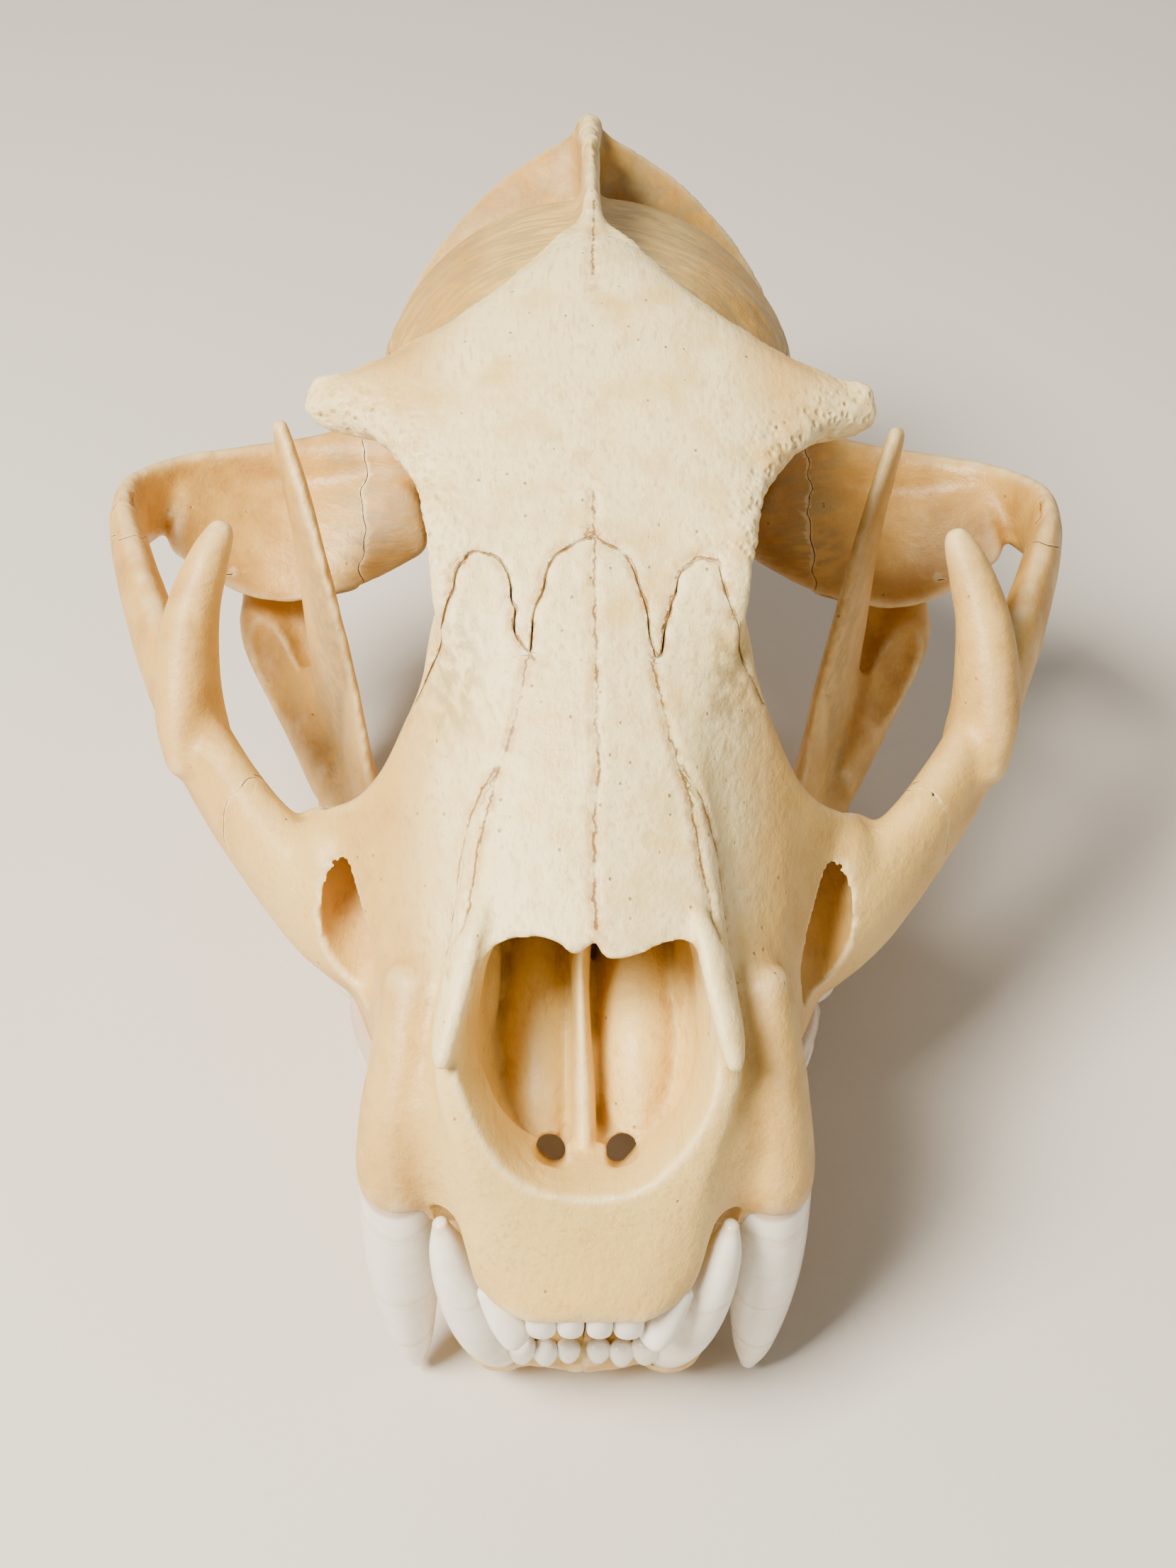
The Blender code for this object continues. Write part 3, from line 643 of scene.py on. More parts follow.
@dataclass
class Clay:
    """A body while it is being shaped."""

    thing: bpy.types.Object

    def join(self, others: list) -> None:
        """Adds other bodies to this one."""
        self._combine(others, "UNION")

    def cut(self, others: list) -> None:
        """Takes other bodies out of this one."""
        self._combine(others, "DIFFERENCE")

    def _combine(self, others: list, operation: str) -> None:
        """Runs one Boolean with a group of bodies and removes them.

        Args:
            others: the other bodies.
            operation: UNION or DIFFERENCE.
        """
        group = bpy.data.collections.new("clay")
        bpy.context.scene.collection.children.link(group)
        for other in others:
            bpy.context.scene.collection.objects.unlink(other)
            group.objects.link(other)
        boolean = self.thing.modifiers.new("clay", "BOOLEAN")
        boolean.operand_type = "COLLECTION"
        boolean.collection = group
        boolean.operation = operation
        boolean.solver = "MANIFOLD"
        applied(self.thing)
        for other in others:
            bpy.data.objects.remove(other)
        bpy.data.collections.remove(group)

    def soften(self, voxel: float, passes: int) -> None:
        """Makes one even skin and smooths it.

        Args:
            voxel: the skin's spacing, in millimetres.
            passes: how often it is smoothed.
        """
        remesh = self.thing.modifiers.new("skin", "REMESH")
        remesh.mode = "VOXEL"
        remesh.voxel_size = voxel * MM
        smooth = self.thing.modifiers.new("soften", "SMOOTH")
        smooth.factor = 0.5
        smooth.iterations = passes
        applied(self.thing)
        self.keep_largest()

    def keep_largest(self) -> None:
        """Drops all but the largest closed surface."""
        labels = shells_of(self.thing.data)
        names, counts = np.unique(labels, return_counts=True)
        if len(names) > 1:
            self.thing.data = shell_mesh(self.thing.data, labels == names[counts.argmax()], self.thing.name)


@dataclass
class Muzzle:
    """Snout bones from the incisor sockets back to the orbits."""

    ridges: tuple = (
        ((-3, 0, 2.5), (2, 0, 9), (8, 0, 18.5), (14, 0, 28), (22, 0, 36.2), (32, 0, 42.3), (46, 0, 50.7),
         (66, 0, 61.8)),
        ((-3, 4, 2), (2, 8.5, 8), (8, 13, 18), (14, 16.6, 26), (22, 15.8, 32), (32, 14, 39), (46, 11.4, 48.2),
         (66, 9, 60.6)),
        ((-3, 6, 1.6), (2, 11.5, 6), (8, 15.4, 14), (14, 18, 20.5), (22, 18.6, 25.5), (32, 17.8, 32),
         (46, 16.4, 43), (66, 16.8, 58.5)),
        ((-3, 7.6, 1.2), (2, 13, 4), (8, 16.5, 9), (14, 23, 15), (22, 25.4, 18.5), (32, 25.2, 23), (46, 25.8, 32),
         (66, 30.5, 41)),
        ((-3, 8, 0.6), (2, 13.4, 1.2), (8, 16, 4), (14, 25.6, 7), (22, 27.6, 9), (32, 27.6, 12.5),
         (46, 31.5, 18), (66, 39, 25)),
        ((-3, 7, 0.2), (2, 12, -1.6), (8, 14.5, -0.6), (14, 25, 2.2), (22, 26.4, 1.8), (32, 26.6, 1),
         (46, 31.5, 0.5), (66, 37.5, 0.8)),
        ((-3, 4.4, 0), (2, 9, -1.6), (8, 12, 0.4), (14, 17, 1.8), (22, 19, 1.6), (32, 20.5, 1), (46, 24, 1),
         (66, 30, 1.5)),
        ((-3, 0, 0.2), (2, 0, 0.6), (8, 0, 2.6), (14, 0, 4), (22, 0, 5.4), (32, 0, 6.4), (46, 0, 7),
         (66, 0, 7)),
    )
    root_swelling: Rows = (
        (23.2, 15.6, 4.6, 5.6, 7.4), (23.2, 17.5, 9, 5.4, 7.6), (22.6, 22, 17, 4.6, 6.8), (21.4, 29, 26, 3.6, 5.0),
    )
    infraorbital: Rows = ((30.4, 38, 16.0, 4.6, 5.6), (30.8, 50, 19.2, 4.6, 5.0), (33.0, 68, 24.2, 3.6, 4.2))
    tear_wall: Rows = ((14.0, 48, 39, 3.2, 5), (14.6, 58, 42, 3.4, 7), (14.6, 68, 47, 3.0, 7.6))
    orbit: Rows = (
        (32.6, 61, 42, 8, 13), (35.4, 65, 42.5, 12, 16), (38.4, 70, 43.4, 16, 18.6), (44, 80, 44, 22, 21),
        (50, 100, 46, 28, 26),
    )
    # The orbit's rim as it is seen from the front and above: sideways, and up from a point between its walls.
    rim: Rows = (
        (31.1, 39.0), (27.8, 36.5), (25.1, 32.9), (22.8, 28.7), (21.8, 24.6), (21.2, 19.6), (21.3, 12.9),
        (21.8, 8.7), (22.6, 4.5), (24.5, -0.1), (26.5, -4.7), (28.0, -7.7), (30.4, -10.4), (33.5, -11.8),
        (37.7, -11.9), (41.1, -10.9), (44.3, -7.6), (46.2, -3.7), (47.2, 1.7), (47.6, 7.6), (47.4, 12.6),
        (46.6, 18.4), (45.6, 22.5), (42.4, 27.2), (36.9, 32.7), (33.2, 36.5),
    )
    rim_middle: tuple = (0.0, 66.0, 36.0)
    rim_up: tuple = (0.0, 0.645, 0.764)
    sight: tuple = (0.0, -122.9, 202.9)

    def body(self) -> bpy.types.Object:
        """The snout as one loft."""
        return ridge_loft("cranium", self.ridges)

    def cheeks(self) -> list:
        """The roots of the cheekbones and the walls by the tear ducts."""
        made = []
        for side in Side:
            made.append(ball("cheek_root", (33.6, 56.4, 17.6), (6.6, 8.4, 8.6), side.value))
            made.append(sweep("tear_wall", self.tear_wall, UP, side.value))
        return made

    def orbits(self) -> list:
        """The spaces of the eyes."""
        made = []
        outline = closed_through(self.rim, 3)
        for side in Side:
            edge = np.array(self.rim_middle) + np.outer(outline[:, 1], self.rim_up)
            edge[:, 0] = outline[:, 0] * side.value
            away = edge[::int(side.value)] - self.sight
            made.append(object_of_rings("rim", [away * far + self.sight for far in (0.93, 0.98, 1.03, 1.09)]))
            made.append(sweep("orbit", self.orbit, UP, side.value, sides=40))
        return made

    def swellings(self) -> list:
        """The swellings over the upper canines' roots."""
        return [sweep("root_swelling", self.root_swelling, BACK, side.value) for side in Side]

    def openings(self) -> list:
        """The large nerve openings below the orbits."""
        return [sweep("infraorbital", self.infraorbital, UP, side.value, sides=28) for side in Side]


@dataclass
class Nose:
    """The nasal opening, its slender bony points and what shows inside."""

    # The opening's edge once round, in its own sloping plane: sideways, and up from the plane's top.
    edge: Rows = (
        (0, -28.7), (4.4, -28.2), (7.2, -26.6), (9.3, -24.0), (11.4, -20.6), (13.6, -15.8), (14.8, -11.2),
        (14.6, -7.0), (14.0, -3.4), (12.9, -0.7), (10.7, 0.4), (8.0, -0.1), (5.6, -1.0), (2.0, -1.2),
        (0.8, 0.9), (-1.0, -0.5), (-2.0, -0.8), (-3.4, 0.3), (-5.8, 0.9), (-9.0, 0.5), (-11.2, -0.6),
        (-12.6, -2.6), (-13.8, -6.2), (-14.6, -10.8), (-14.0, -14.8), (-12.0, -18.8), (-10.0, -23.2),
        (-7.8, -26.2), (-4.6, -28.1),
    )
    middle: tuple = (0.0, -14.0)
    plane_top: tuple = (0.0, 25.0, 37.0)
    plane_up: tuple = (0.0, 0.654, 0.757)
    inward: tuple = (0.0, 0.80, -0.60)
    # Depth of each cross-section below that plane, and how much wider than the edge it is.
    depths: Rows = ((-9, 8.5), (-4, 4.2), (-1.5, 2.4), (0.5, 1.2), (2.5, 0.4), (6, -0.4), (10, -1), (13, -2),
                    (15, -4))
    airway: Rows = (
        (17, 11.4, 27, 7.4), (22, 13.4, 32.4, 7.2), (28, 13.4, 36.6, 7.0), (36, 12.8, 41.4, 7.4),
        (46, 11.4, 47.2, 9), (56, 9.6, 51, 13), (63, 6, 48, 22),
    )
    point: Rows = (
        (12.6, 32, 37.2, 1.3, 2.6), (14.7, 26, 34.7, 1.7, 3.0), (16.0, 20.6, 31.8, 1.7, 2.7),
        (16.8, 16.6, 29.7, 1.45, 2.1), (17.1, 13.9, 28.5, 0.9, 1.1),
    )
    septum: Rows = (
        (-0.5, 12.6, 5.6, 1.5, 2.4), (-0.3, 18, 7.6, 1.5, 4.4), (-0.6, 25, 11.4, 1.5, 6.2), (-0.9, 34, 16.5, 1.4, 7.6),
        (-0.9, 44, 24, 1.35, 9.5), (-0.7, 55, 34, 1.3, 11),
    )
    left_lobe: tuple = ((6.7, 36, 10), (6.5, 20, 9.6))
    right_lobe: tuple = ((-6.0, 36, 10), (6.0, 20, 9.4))
    shelf: tuple = ((13.6, 37, 19), (2.4, 12, 3.0))
    incisive: Rows = ((4.8, 29, -5, 2.0, 2.4), (4.6, 22, 2.6, 1.8, 2.3), (4.4, 17, 8, 1.7, 2.2),
                      (4.4, 12.6, 12.6, 1.7, 2.2))

    def _opening(self) -> bpy.types.Object:
        """The space in the opening, through cross-sections with its edge's outline."""
        outline = closed_through(self.edge, 3)
        up = outline[:, 1]
        spread = unit(outline - self.middle)
        low = ease(up, -7.0, -21.0)
        rings = []
        for depth, wider in self.depths:
            grown = outline + spread * (wider * (low if wider > 0 else np.ones(len(low))))[:, None]
            ring = np.array(self.plane_top) + np.outer(grown[:, 1], self.plane_up) + np.array(self.inward) * depth
            ring[:, 0] = grown[:, 0]
            rings.append(ring)
        return object_of_rings("opening", rings)

    def spaces(self) -> list:
        """What is cut away: the opening and the airway behind it."""
        rows = [(y, half, top, top * 0.5 + low * 0.5, low) for y, half, top, low in self.airway]
        return [self._opening(), egg_loft("airway", rows)]

    def points(self) -> list:
        """The slender points that run down beside the opening."""
        return [sweep("nasal_point", self.point, (-0.5, 0.3, 0.8), side.value, sides=20) for side in Side]

    def inside(self) -> list:
        """The wall between the airways, the swollen floors beside it and the ledges above them."""
        made = [sweep("septum", self.septum, UP, sides=20)]
        for centre, radii in (self.left_lobe, self.right_lobe):
            made.append(ball("lobe", centre, radii, turn=(14, 0, 0)))
        for side in Side:
            made.append(ball("ledge", *self.shelf, side.value, turn=(30, 0, 0)))
        return made

    def floor_holes(self) -> list:
        """The two openings in the floor of the nose."""
        return [sweep("incisive", self.incisive, (0.72, 0.7, 0), side.value, sides=20) for side in Side]


@dataclass
class Forehead:
    """Forehead, its hooked processes and the column between the orbits."""

    ridges: tuple = (
        ((54, 0, 54.2), (62, 0, 59.6), (70, 0, 64.2), (80, 0, 69), (90, 0, 73.6), (100, 0, 76.8), (110, 0, 78.2),
         (122, 0, 77.4), (136, 0, 73)),
        ((54, 8, 53.2), (62, 9, 58.8), (70, 10, 63.6), (80, 11.5, 68.4), (90, 15, 72.4), (100, 15, 75.2),
         (110, 9, 77), (122, 3.8, 76.6), (136, 1.1, 73)),
        ((54, 14.4, 48.6), (62, 18.9, 57), (70, 20.4, 62.8), (80, 22.6, 66.2), (90, 29.6, 68), (96.6, 36.4, 67.9),
         (100, 30, 68.6), (104.5, 21, 71.6), (112, 13, 73.8), (123, 5.4, 75.2), (136, 1.7, 72)),
        ((54, 15.2, 44), (62, 18.4, 52.5), (70, 19.4, 58.6), (80, 21.6, 62), (90, 28.4, 63.8), (96.6, 36.0, 62.0),
         (100, 29.4, 62), (104.5, 22, 63.6), (112, 16.4, 64), (123, 13.6, 63), (136, 13, 59)),
        ((54, 15.8, 38), (62, 17, 46), (70, 16.4, 53), (80, 16.6, 56.5), (90, 18.4, 58.6), (100, 19.6, 59),
         (110, 19.6, 59), (122, 23, 58), (136, 26, 56)),
        ((54, 17.5, 32), (62, 17, 34), (70, 15.5, 37), (80, 14.2, 38), (90, 14, 38), (100, 15.6, 38.5),
         (110, 19, 40), (122, 26, 42), (136, 31, 42)),
        ((54, 17, 16), (62, 16, 18), (70, 13.2, 20), (80, 11.8, 20), (90, 10.8, 20), (100, 11.2, 20),
         (110, 13, 19), (122, 17, 18), (136, 20, 16)),
        ((54, 0, 9), (62, 0, 11), (70, 0, 14), (80, 0, 15), (90, 0, 15), (100, 0, 15), (110, 0, 15),
         (122, 0, 14), (136, 0, 13)),
    )
    choana: Rows = ((60, 4, 12, 10, 8), (72, 8.5, 16, 11, 3), (86, 9, 17, 10, -4), (112, 8.5, 14, 5, -8),
                    (126, 7, 8, 0, -10))
    pterygoid: Rows = ((13, 70, 14, 2.2, 9), (11.5, 86, 13, 1.5, 8), (11.2, 102, 12.5, 1.4, 8),
                       (12, 116, 13, 1.6, 7))
    hook: Rows = ((11.6, 112, 12, 1.5, 4), (11.3, 117, 5, 1.3, 3), (11, 122, 1, 1.1, 1.4))
    optic: Rows = ((20, 104, 33, 2.4, 2.4), (12, 112, 32, 2.2, 2.2), (6, 118, 32, 2, 2))

    def solids(self) -> list:
        """The loft and the plates below it."""
        made = [ridge_loft("forehead", self.ridges)]
        for side in Side:
            made.append(sweep("pterygoid", self.pterygoid, UP, side.value))
            made.append(sweep("hook", self.hook, BACK, side.value))
            made.append(ball("process_knob", (35.4, 97.4, 64.8), (2.6, 3.0, 3.8), side.value, turn=(0, 20, 0)))
        return made

    def spaces(self) -> list:
        """The passage behind the palate and the openings of the eyes' nerves."""
        made = [egg_loft("choana", self.choana)]
        return made + [sweep("optic", self.optic, UP, side.value) for side in Side]


@dataclass
class Braincase:
    """The braincase, its crests, the base of the skull and what grows below it."""

    crest_thick: float = 1.4
    rows: Rows = (
        (104, 15, 60, 44, 20), (114, 21.5, 65.5, 43, 17), (126, 28.5, 67, 42, 14), (140, 33, 65.2, 40, 12.5),
        (154, 33, 62, 38, 11.5), (168, 31, 58, 36, 11), (180, 27.5, 54.2, 34, 11.5), (190, 22.5, 48.6, 32, 13),
        (197, 15, 42, 30, 17), (200, 5, 36, 29, 23),
    )
    brain: Rows = (
        (122, 9, 54, 42, 32), (132, 20, 60, 41, 25), (145, 27, 60.5, 40, 20), (160, 27.5, 56.5, 38, 18),
        (172, 24.5, 50.5, 35, 17.5), (182, 16, 41, 29, 16), (188, 10.5, 32, 22, 13.5), (196, 9.2, 28.5, 20.5, 12.4),
        (208, 9.6, 29.5, 20.5, 12),
    )
    base: Rows = ((0, 90, 17, 8, 4), (0, 120, 14, 9, 4), (0, 150, 12, 12, 4.5), (0, 180, 12, 14, 5),
                  (0, 192, 13, 12, 4.5))
    back_crest: Rows = (
        (0, 200, 52, 2.2, 6), (6.4, 199, 48.6, 1.9, 6), (13.6, 194.5, 44, 1.9, 7), (21, 189, 37, 2.0, 7.5),
        (27.6, 182.5, 28.6, 2.2, 7), (32.3, 176, 19, 2.6, 6),
    )
    mastoid: Rows = ((26, 170, 22, 7, 9), (33, 171, 13, 4.6, 7), (35, 171, 6, 3.2, 4))
    jugular: Rows = ((22, 183, 16, 6, 6), (26, 182, 6, 3.4, 5), (27, 181.5, 0, 2.2, 2.8))
    ear_hole: Rows = ((40, 156, 12, 3.2, 3.6), (30, 159, 10.5, 2.6, 3.0), (24, 161, 9.5, 2.0, 2.4))

    def top_crest(self) -> Rows:
        """The path of the crest along the top."""
        thick = self.crest_thick
        return (
            (0, 122, 72.5, 2.4, 4.4), (0, 134, 71, thick, 6.2), (0, 148, 68.8, thick, 7.0), (0, 164, 65.2, thick, 7.5),
            (0, 180, 59.5, thick, 8.4), (0, 193, 54.0, thick * 1.2, 8.5), (0, 203, 52.4, 2.6, 6.8),
        )

    def solids(self) -> list:
        """The braincase and all that grows from it."""
        made = [egg_loft("braincase", self.rows), sweep("top_crest", self.top_crest(), UP),
                sweep("base", self.base, UP)]
        for side in Side:
            made += [
                sweep("back_crest", self.back_crest, (0.25, 0.7, 0.65), side.value),
                ball("ear_capsule", (18.5, 163, 4.5), (9.0, 14.5, 10.5), side.value, turn=(0, 12, -12)),
                ball("condyle", (11, 196.5, 14), (6.4, 6.6, 9), side.value, turn=(20, 28, 0)),
                sweep("mastoid", self.mastoid, BACK, side.value),
                sweep("jugular_process", self.jugular, BACK, side.value),
            ]
        return made

    def spaces(self) -> list:
        """The brain's space, open at the back, and the ear openings."""
        made = [egg_loft("brain", self.brain)]
        return made + [sweep("ear_hole", self.ear_hole, UP, side.value) for side in Side]


@dataclass
class CheekArch:
    """The arch of the cheekbone with its upright process and the jaw joint's shelf."""

    bar: Rows = (
        (26.6, 47, 11.5, 7.5, 9.5), (35, 52.8, 13.2, 6.8, 9.4), (43.2, 60.4, 15.6, 5.2, 8.4),
        (51.8, 71.6, 19.0, 4.6, 8.2), (59, 84.8, 22.8, 4.0, 8.3), (64.8, 98, 25.5, 3.5, 8.0),
        (69.9, 112, 27, 3.0, 7.2), (72.6, 122, 26.2, 2.7, 6.8), (72.3, 131, 23.8, 2.7, 6.8),
        (67.2, 139.5, 21.4, 2.9, 6.6), (57, 144.4, 20.6, 3.2, 6.4), (44, 147, 21, 4.4, 6.6), (30, 148.5, 23, 8.0, 8.0),
    )
    process: Rows = (
        (55.4, 76.4, 20, 4.4, 8.6), (56.6, 79.6, 26, 4.7, 8.0), (56.6, 83.2, 32, 4.5, 6.6), (55.6, 87.2, 38, 3.9, 5.1),
        (53.5, 91.4, 43.2, 3.1, 3.7), (51.7, 94.4, 46.2, 2.1, 2.4),
    )
    shelf: Rows = (
        (31, 140, 19, 5.0, 10), (42, 137, 16.6, 2.7, 12.4), (52, 135.4, 15.6, 2.5, 12.6), (60, 134.5, 17.8, 2.5, 10.6),
        (67, 133, 21.4, 2.5, 7.6),
    )
    stop: Rows = ((38, 147, 12, 3.0, 4.5), (46, 146.4, 9, 2.4, 4.2), (54, 145.4, 11, 2.0, 3.6))

    def solids(self, side: Side) -> list:
        """The arch of one side.

        Args:
            side: which side.

        Returns:
            Its bar, process, shelf and the stop behind the jaw joint.
        """
        return [
            sweep("bar", self.bar, UP, side.value, sides=32),
            sweep("process", self.process, BACK, side.value),
            sweep("shelf", self.shelf, (0.0, 0.88, 0.47), side.value, sides=32),
            sweep("stop", self.stop, UP, side.value),
        ]


@dataclass
class Canine:
    """One canine with its root: a long cone, flattened from side to side."""

    piece: str
    rows: Rows
    crown_start: float

    def body(self, name: str, side: Side, more: float = 0.0, sides: int = 40) -> bpy.types.Object:
        """The tooth, or a body a little larger that leaves its socket.

        Args:
            name: the object's name.
            side: which side.
            more: how much larger, in millimetres.
            sides: points round it.

        Returns:
            The object.
        """
        rows = tuple((*row[:3], row[3] + more, row[4] + more) for row in self.rows)
        return sweep(name, rows, BACK, side.value, steps=8, sides=sides)


# How much larger a socket and the notch for the opposite tooth are than the canine.
SOCKET_SPACE = 0.25
NOTCH_SPACE = 1.9

UPPER_CANINE = Canine("upper_canine", (
    (22.6, 21, 16, 4.0, 5.0), (23.2, 17.8, 8, 5.1, 6.7), (23.4, 15.4, 0, 5.2, 7.0), (23.5, 13.2, -9, 4.8, 6.1),
    (23.2, 11.6, -18, 3.9, 4.8), (22.8, 10.4, -25.6, 2.6, 3.1), (22.5, 9.8, -29.8, 1.2, 1.4),
), 4.4)
LOWER_CANINE = Canine("lower_canine", (
    (9.8, 12.5, -26, 3.2, 4.4), (11.2, 8.6, -19, 4.2, 5.6), (12.9, 5.9, -12, 4.3, 5.4), (15.0, 5.3, -5, 3.6, 4.4),
    (16.9, 6.3, 1.5, 2.4, 3.0), (17.8, 7.5, 5.6, 1.0, 1.2),
), -20.5)


@dataclass
class Jaw:
    """One half of the lower jaw."""

    gap: float = 0.3
    coarse: float = 1.0
    socket_ridge: Rows = ((0, 6.6, -21.4, 2.4, 4.6), (4.4, 6.8, -21.2, 2.4, 4.0), (8.6, 8.2, -22, 2.4, 3.8),
                          (11.6, 10.4, -23.4, 2.4, 3.6))
    bar: Rows = (
        (5.2, 11.5, -20.5, 4.8, 6.4), (6.6, 14, -21.6, 6.2, 9.4), (9.8, 20, -21.8, 6.4, 11.4),
        (14.2, 29, -22.6, 5.6, 11.4), (20.5, 43, -22.8, 5.0, 11.4), (26, 59, -22.8, 5.0, 11.4),
        (31.5, 76, -22.6, 4.9, 11.8),
        (36.8, 94, -21.6, 4.5, 12.8), (41.2, 109, -19, 4.0, 14.2), (44.4, 121, -13.5, 3.5, 13.4),
        (46.4, 131, -5.5, 3.4, 9.6),
    )
    coronoid: Rows = (
        (37.2, 102, -10, 3.2, 14), (39.4, 106, 2, 2.3, 15), (41.2, 111, 15, 1.9, 12.4), (43.2, 115.5, 28, 1.7, 8.4),
        (45.4, 120, 38, 1.6, 5.2), (47.2, 123.4, 45, 1.4, 2.7),
    )
    flare: Rows = ((42, 101, -9, 2.4, 6), (48, 114, -5, 3.2, 6), (54, 127, 0, 4.4, 5), (55, 134, 3, 4.0, 4))
    condyle: Rows = ((40, 137, 6.0, 2.6, 2.8), (46, 137.5, 5.6, 3.4, 4.0), (52, 137.5, 5.4, 3.6, 4.2),
                     (58, 136.5, 6.2, 2.8, 2.8))
    neck: Rows = ((46, 127, -8, 3.2, 9), (47.5, 132, -1, 3.4, 6), (49, 136.6, 4.4, 3.2, 4.4))
    angle: Rows = ((44, 126, -16, 3.0, 6.5), (46.6, 137, -13, 2.6, 4.6), (47.4, 144.5, -10.5, 1.8, 2.6))
    chin_holes: tuple = ((14.4, 17.0, -20.5, 1.5), (16.6, 25.0, -20.0, 1.2), (19.6, 33.5, -19.4, 0.9))

    def body(self, side: Side, voxel: float) -> bpy.types.Object:
        """One half as an even skin, without its teeth.

        Args:
            side: which side.
            voxel: the skin's spacing, in millimetres.

        Returns:
            The object.
        """
        s = side.value
        clay = Clay(sweep("jaw", self.bar, UP, s, sides=40, ends=(0.4, 0.7)))
        clay.join([
            sweep("coronoid", self.coronoid, (0.38, 0.92, 0), s, sides=32),
            sweep("flare", self.flare, UP, s),
            sweep("condyle", self.condyle, UP, s),
            sweep("neck", self.neck, BACK, s),
            ball("canine_root", (11.2, 12.6, -24.0), (5.8, 7.2, 7.0), s, turn=(12, -12, 0)),
            ball("chin", (3.6, 15.0, -21.8), (7, 9.8, 8.8), s, turn=(-24, 0, 0)),
            sweep("socket_ridge", self.socket_ridge, UP, s),
            sweep("angle", self.angle, UP, s),
        ])
        clay.cut([ball("fossa", (50.6, 113, 7), (6.0, 14, 11), s, turn=(0, -6, -20))])
        clay.soften(self.coarse, 5)
        clay.cut([sweep("chin_hole", ((x + 4, y - 1, z, size, size), (x - 3, y + 2, z - 0.5, size, size)), UP, s,
                        sides=14) for x, y, z, size in self.chin_holes])
        clay.soften(voxel, 2)
        clay.cut([
            slab("floor", (0, 60, -TOOTH_LINE - 10), (200, 300, 20), s),
            slab("midline", (-20 + self.gap / 2, 20, -15), (40, 90, 90), s),
            LOWER_CANINE.body("socket", side, SOCKET_SPACE),
        ])
        clay.keep_largest()
        return clay.thing


@dataclass
class Cranium:
    """All bones of the skull but the lower jaw, shaped as one and parted along their sutures."""

    muzzle: Muzzle = field(default_factory=Muzzle)
    nose: Nose = field(default_factory=Nose)
    forehead: Forehead = field(default_factory=Forehead)
    braincase: Braincase = field(default_factory=Braincase)
    arch: CheekArch = field(default_factory=CheekArch)
    coarse: float = 0.9

    def shape(self, voxel: float) -> bpy.types.Object:
        """Builds the whole cranium as one skin.

        Args:
            voxel: the skin's spacing, in millimetres.

        Returns:
            The object.
        """
        clay = Clay(self.muzzle.body())
        clay.join(self.muzzle.cheeks())
        clay.cut(self.muzzle.orbits())
        parts = self.forehead.solids() + self.braincase.solids() + self.muzzle.swellings()
        for side in Side:
            parts += self.arch.solids(side)
        clay.join(parts)
        clay.soften(self.coarse, 6)
        clay.cut(self.nose.spaces() + self.forehead.spaces() + self.braincase.spaces() + self.muzzle.openings())
        clay.join(self.nose.points() + self.nose.inside())
        clay.cut(self.nose.floor_holes())
        clay.soften(voxel, 3)
        return clay.thing

    def sockets(self) -> list:
        """The canines' sockets and the notches that the lower canines stand in."""
        made = [UPPER_CANINE.body("socket", side, SOCKET_SPACE) for side in Side]
        return made + [LOWER_CANINE.body("notch", side, NOTCH_SPACE) for side in Side]


@dataclass(frozen=True)
class Suture:
    """A joint line between two skull bones, as it runs over the surface."""

    path: Rows
    wander: float = 0.35
    both: bool = False
    spacing: float = 0.2
    jag_mm: float = 1.4
    bend_mm: float = 5.0

    def run(self, side: Side, seed: int) -> np.ndarray:
        """Places along the line, a fifth of a millimetre apart, with its small jags.

        Args:
            side: which side it is drawn on.
            seed: which jags.

        Returns:
            The places in skull millimetres.
        """
        knots = np.array(self.path, float) * ((side.value, 1, 1) if self.both else (1, 1, 1))
        even, run = evenly(smooth_run(knots, 12), self.spacing)
        jag = np.column_stack((even, np.full(len(even), seed * 7.3), np.zeros(len(even))))
        ahead = unit(np.gradient(run, axis=0))
        aside = np.column_stack((ahead[:, 1], -ahead[:, 0], np.zeros(len(run))))
        shift = swell(jag, self.jag_mm, seed) * self.wander + swell(jag, self.bend_mm, seed + 1) * self.wander
        return run + aside * shift[:, None]


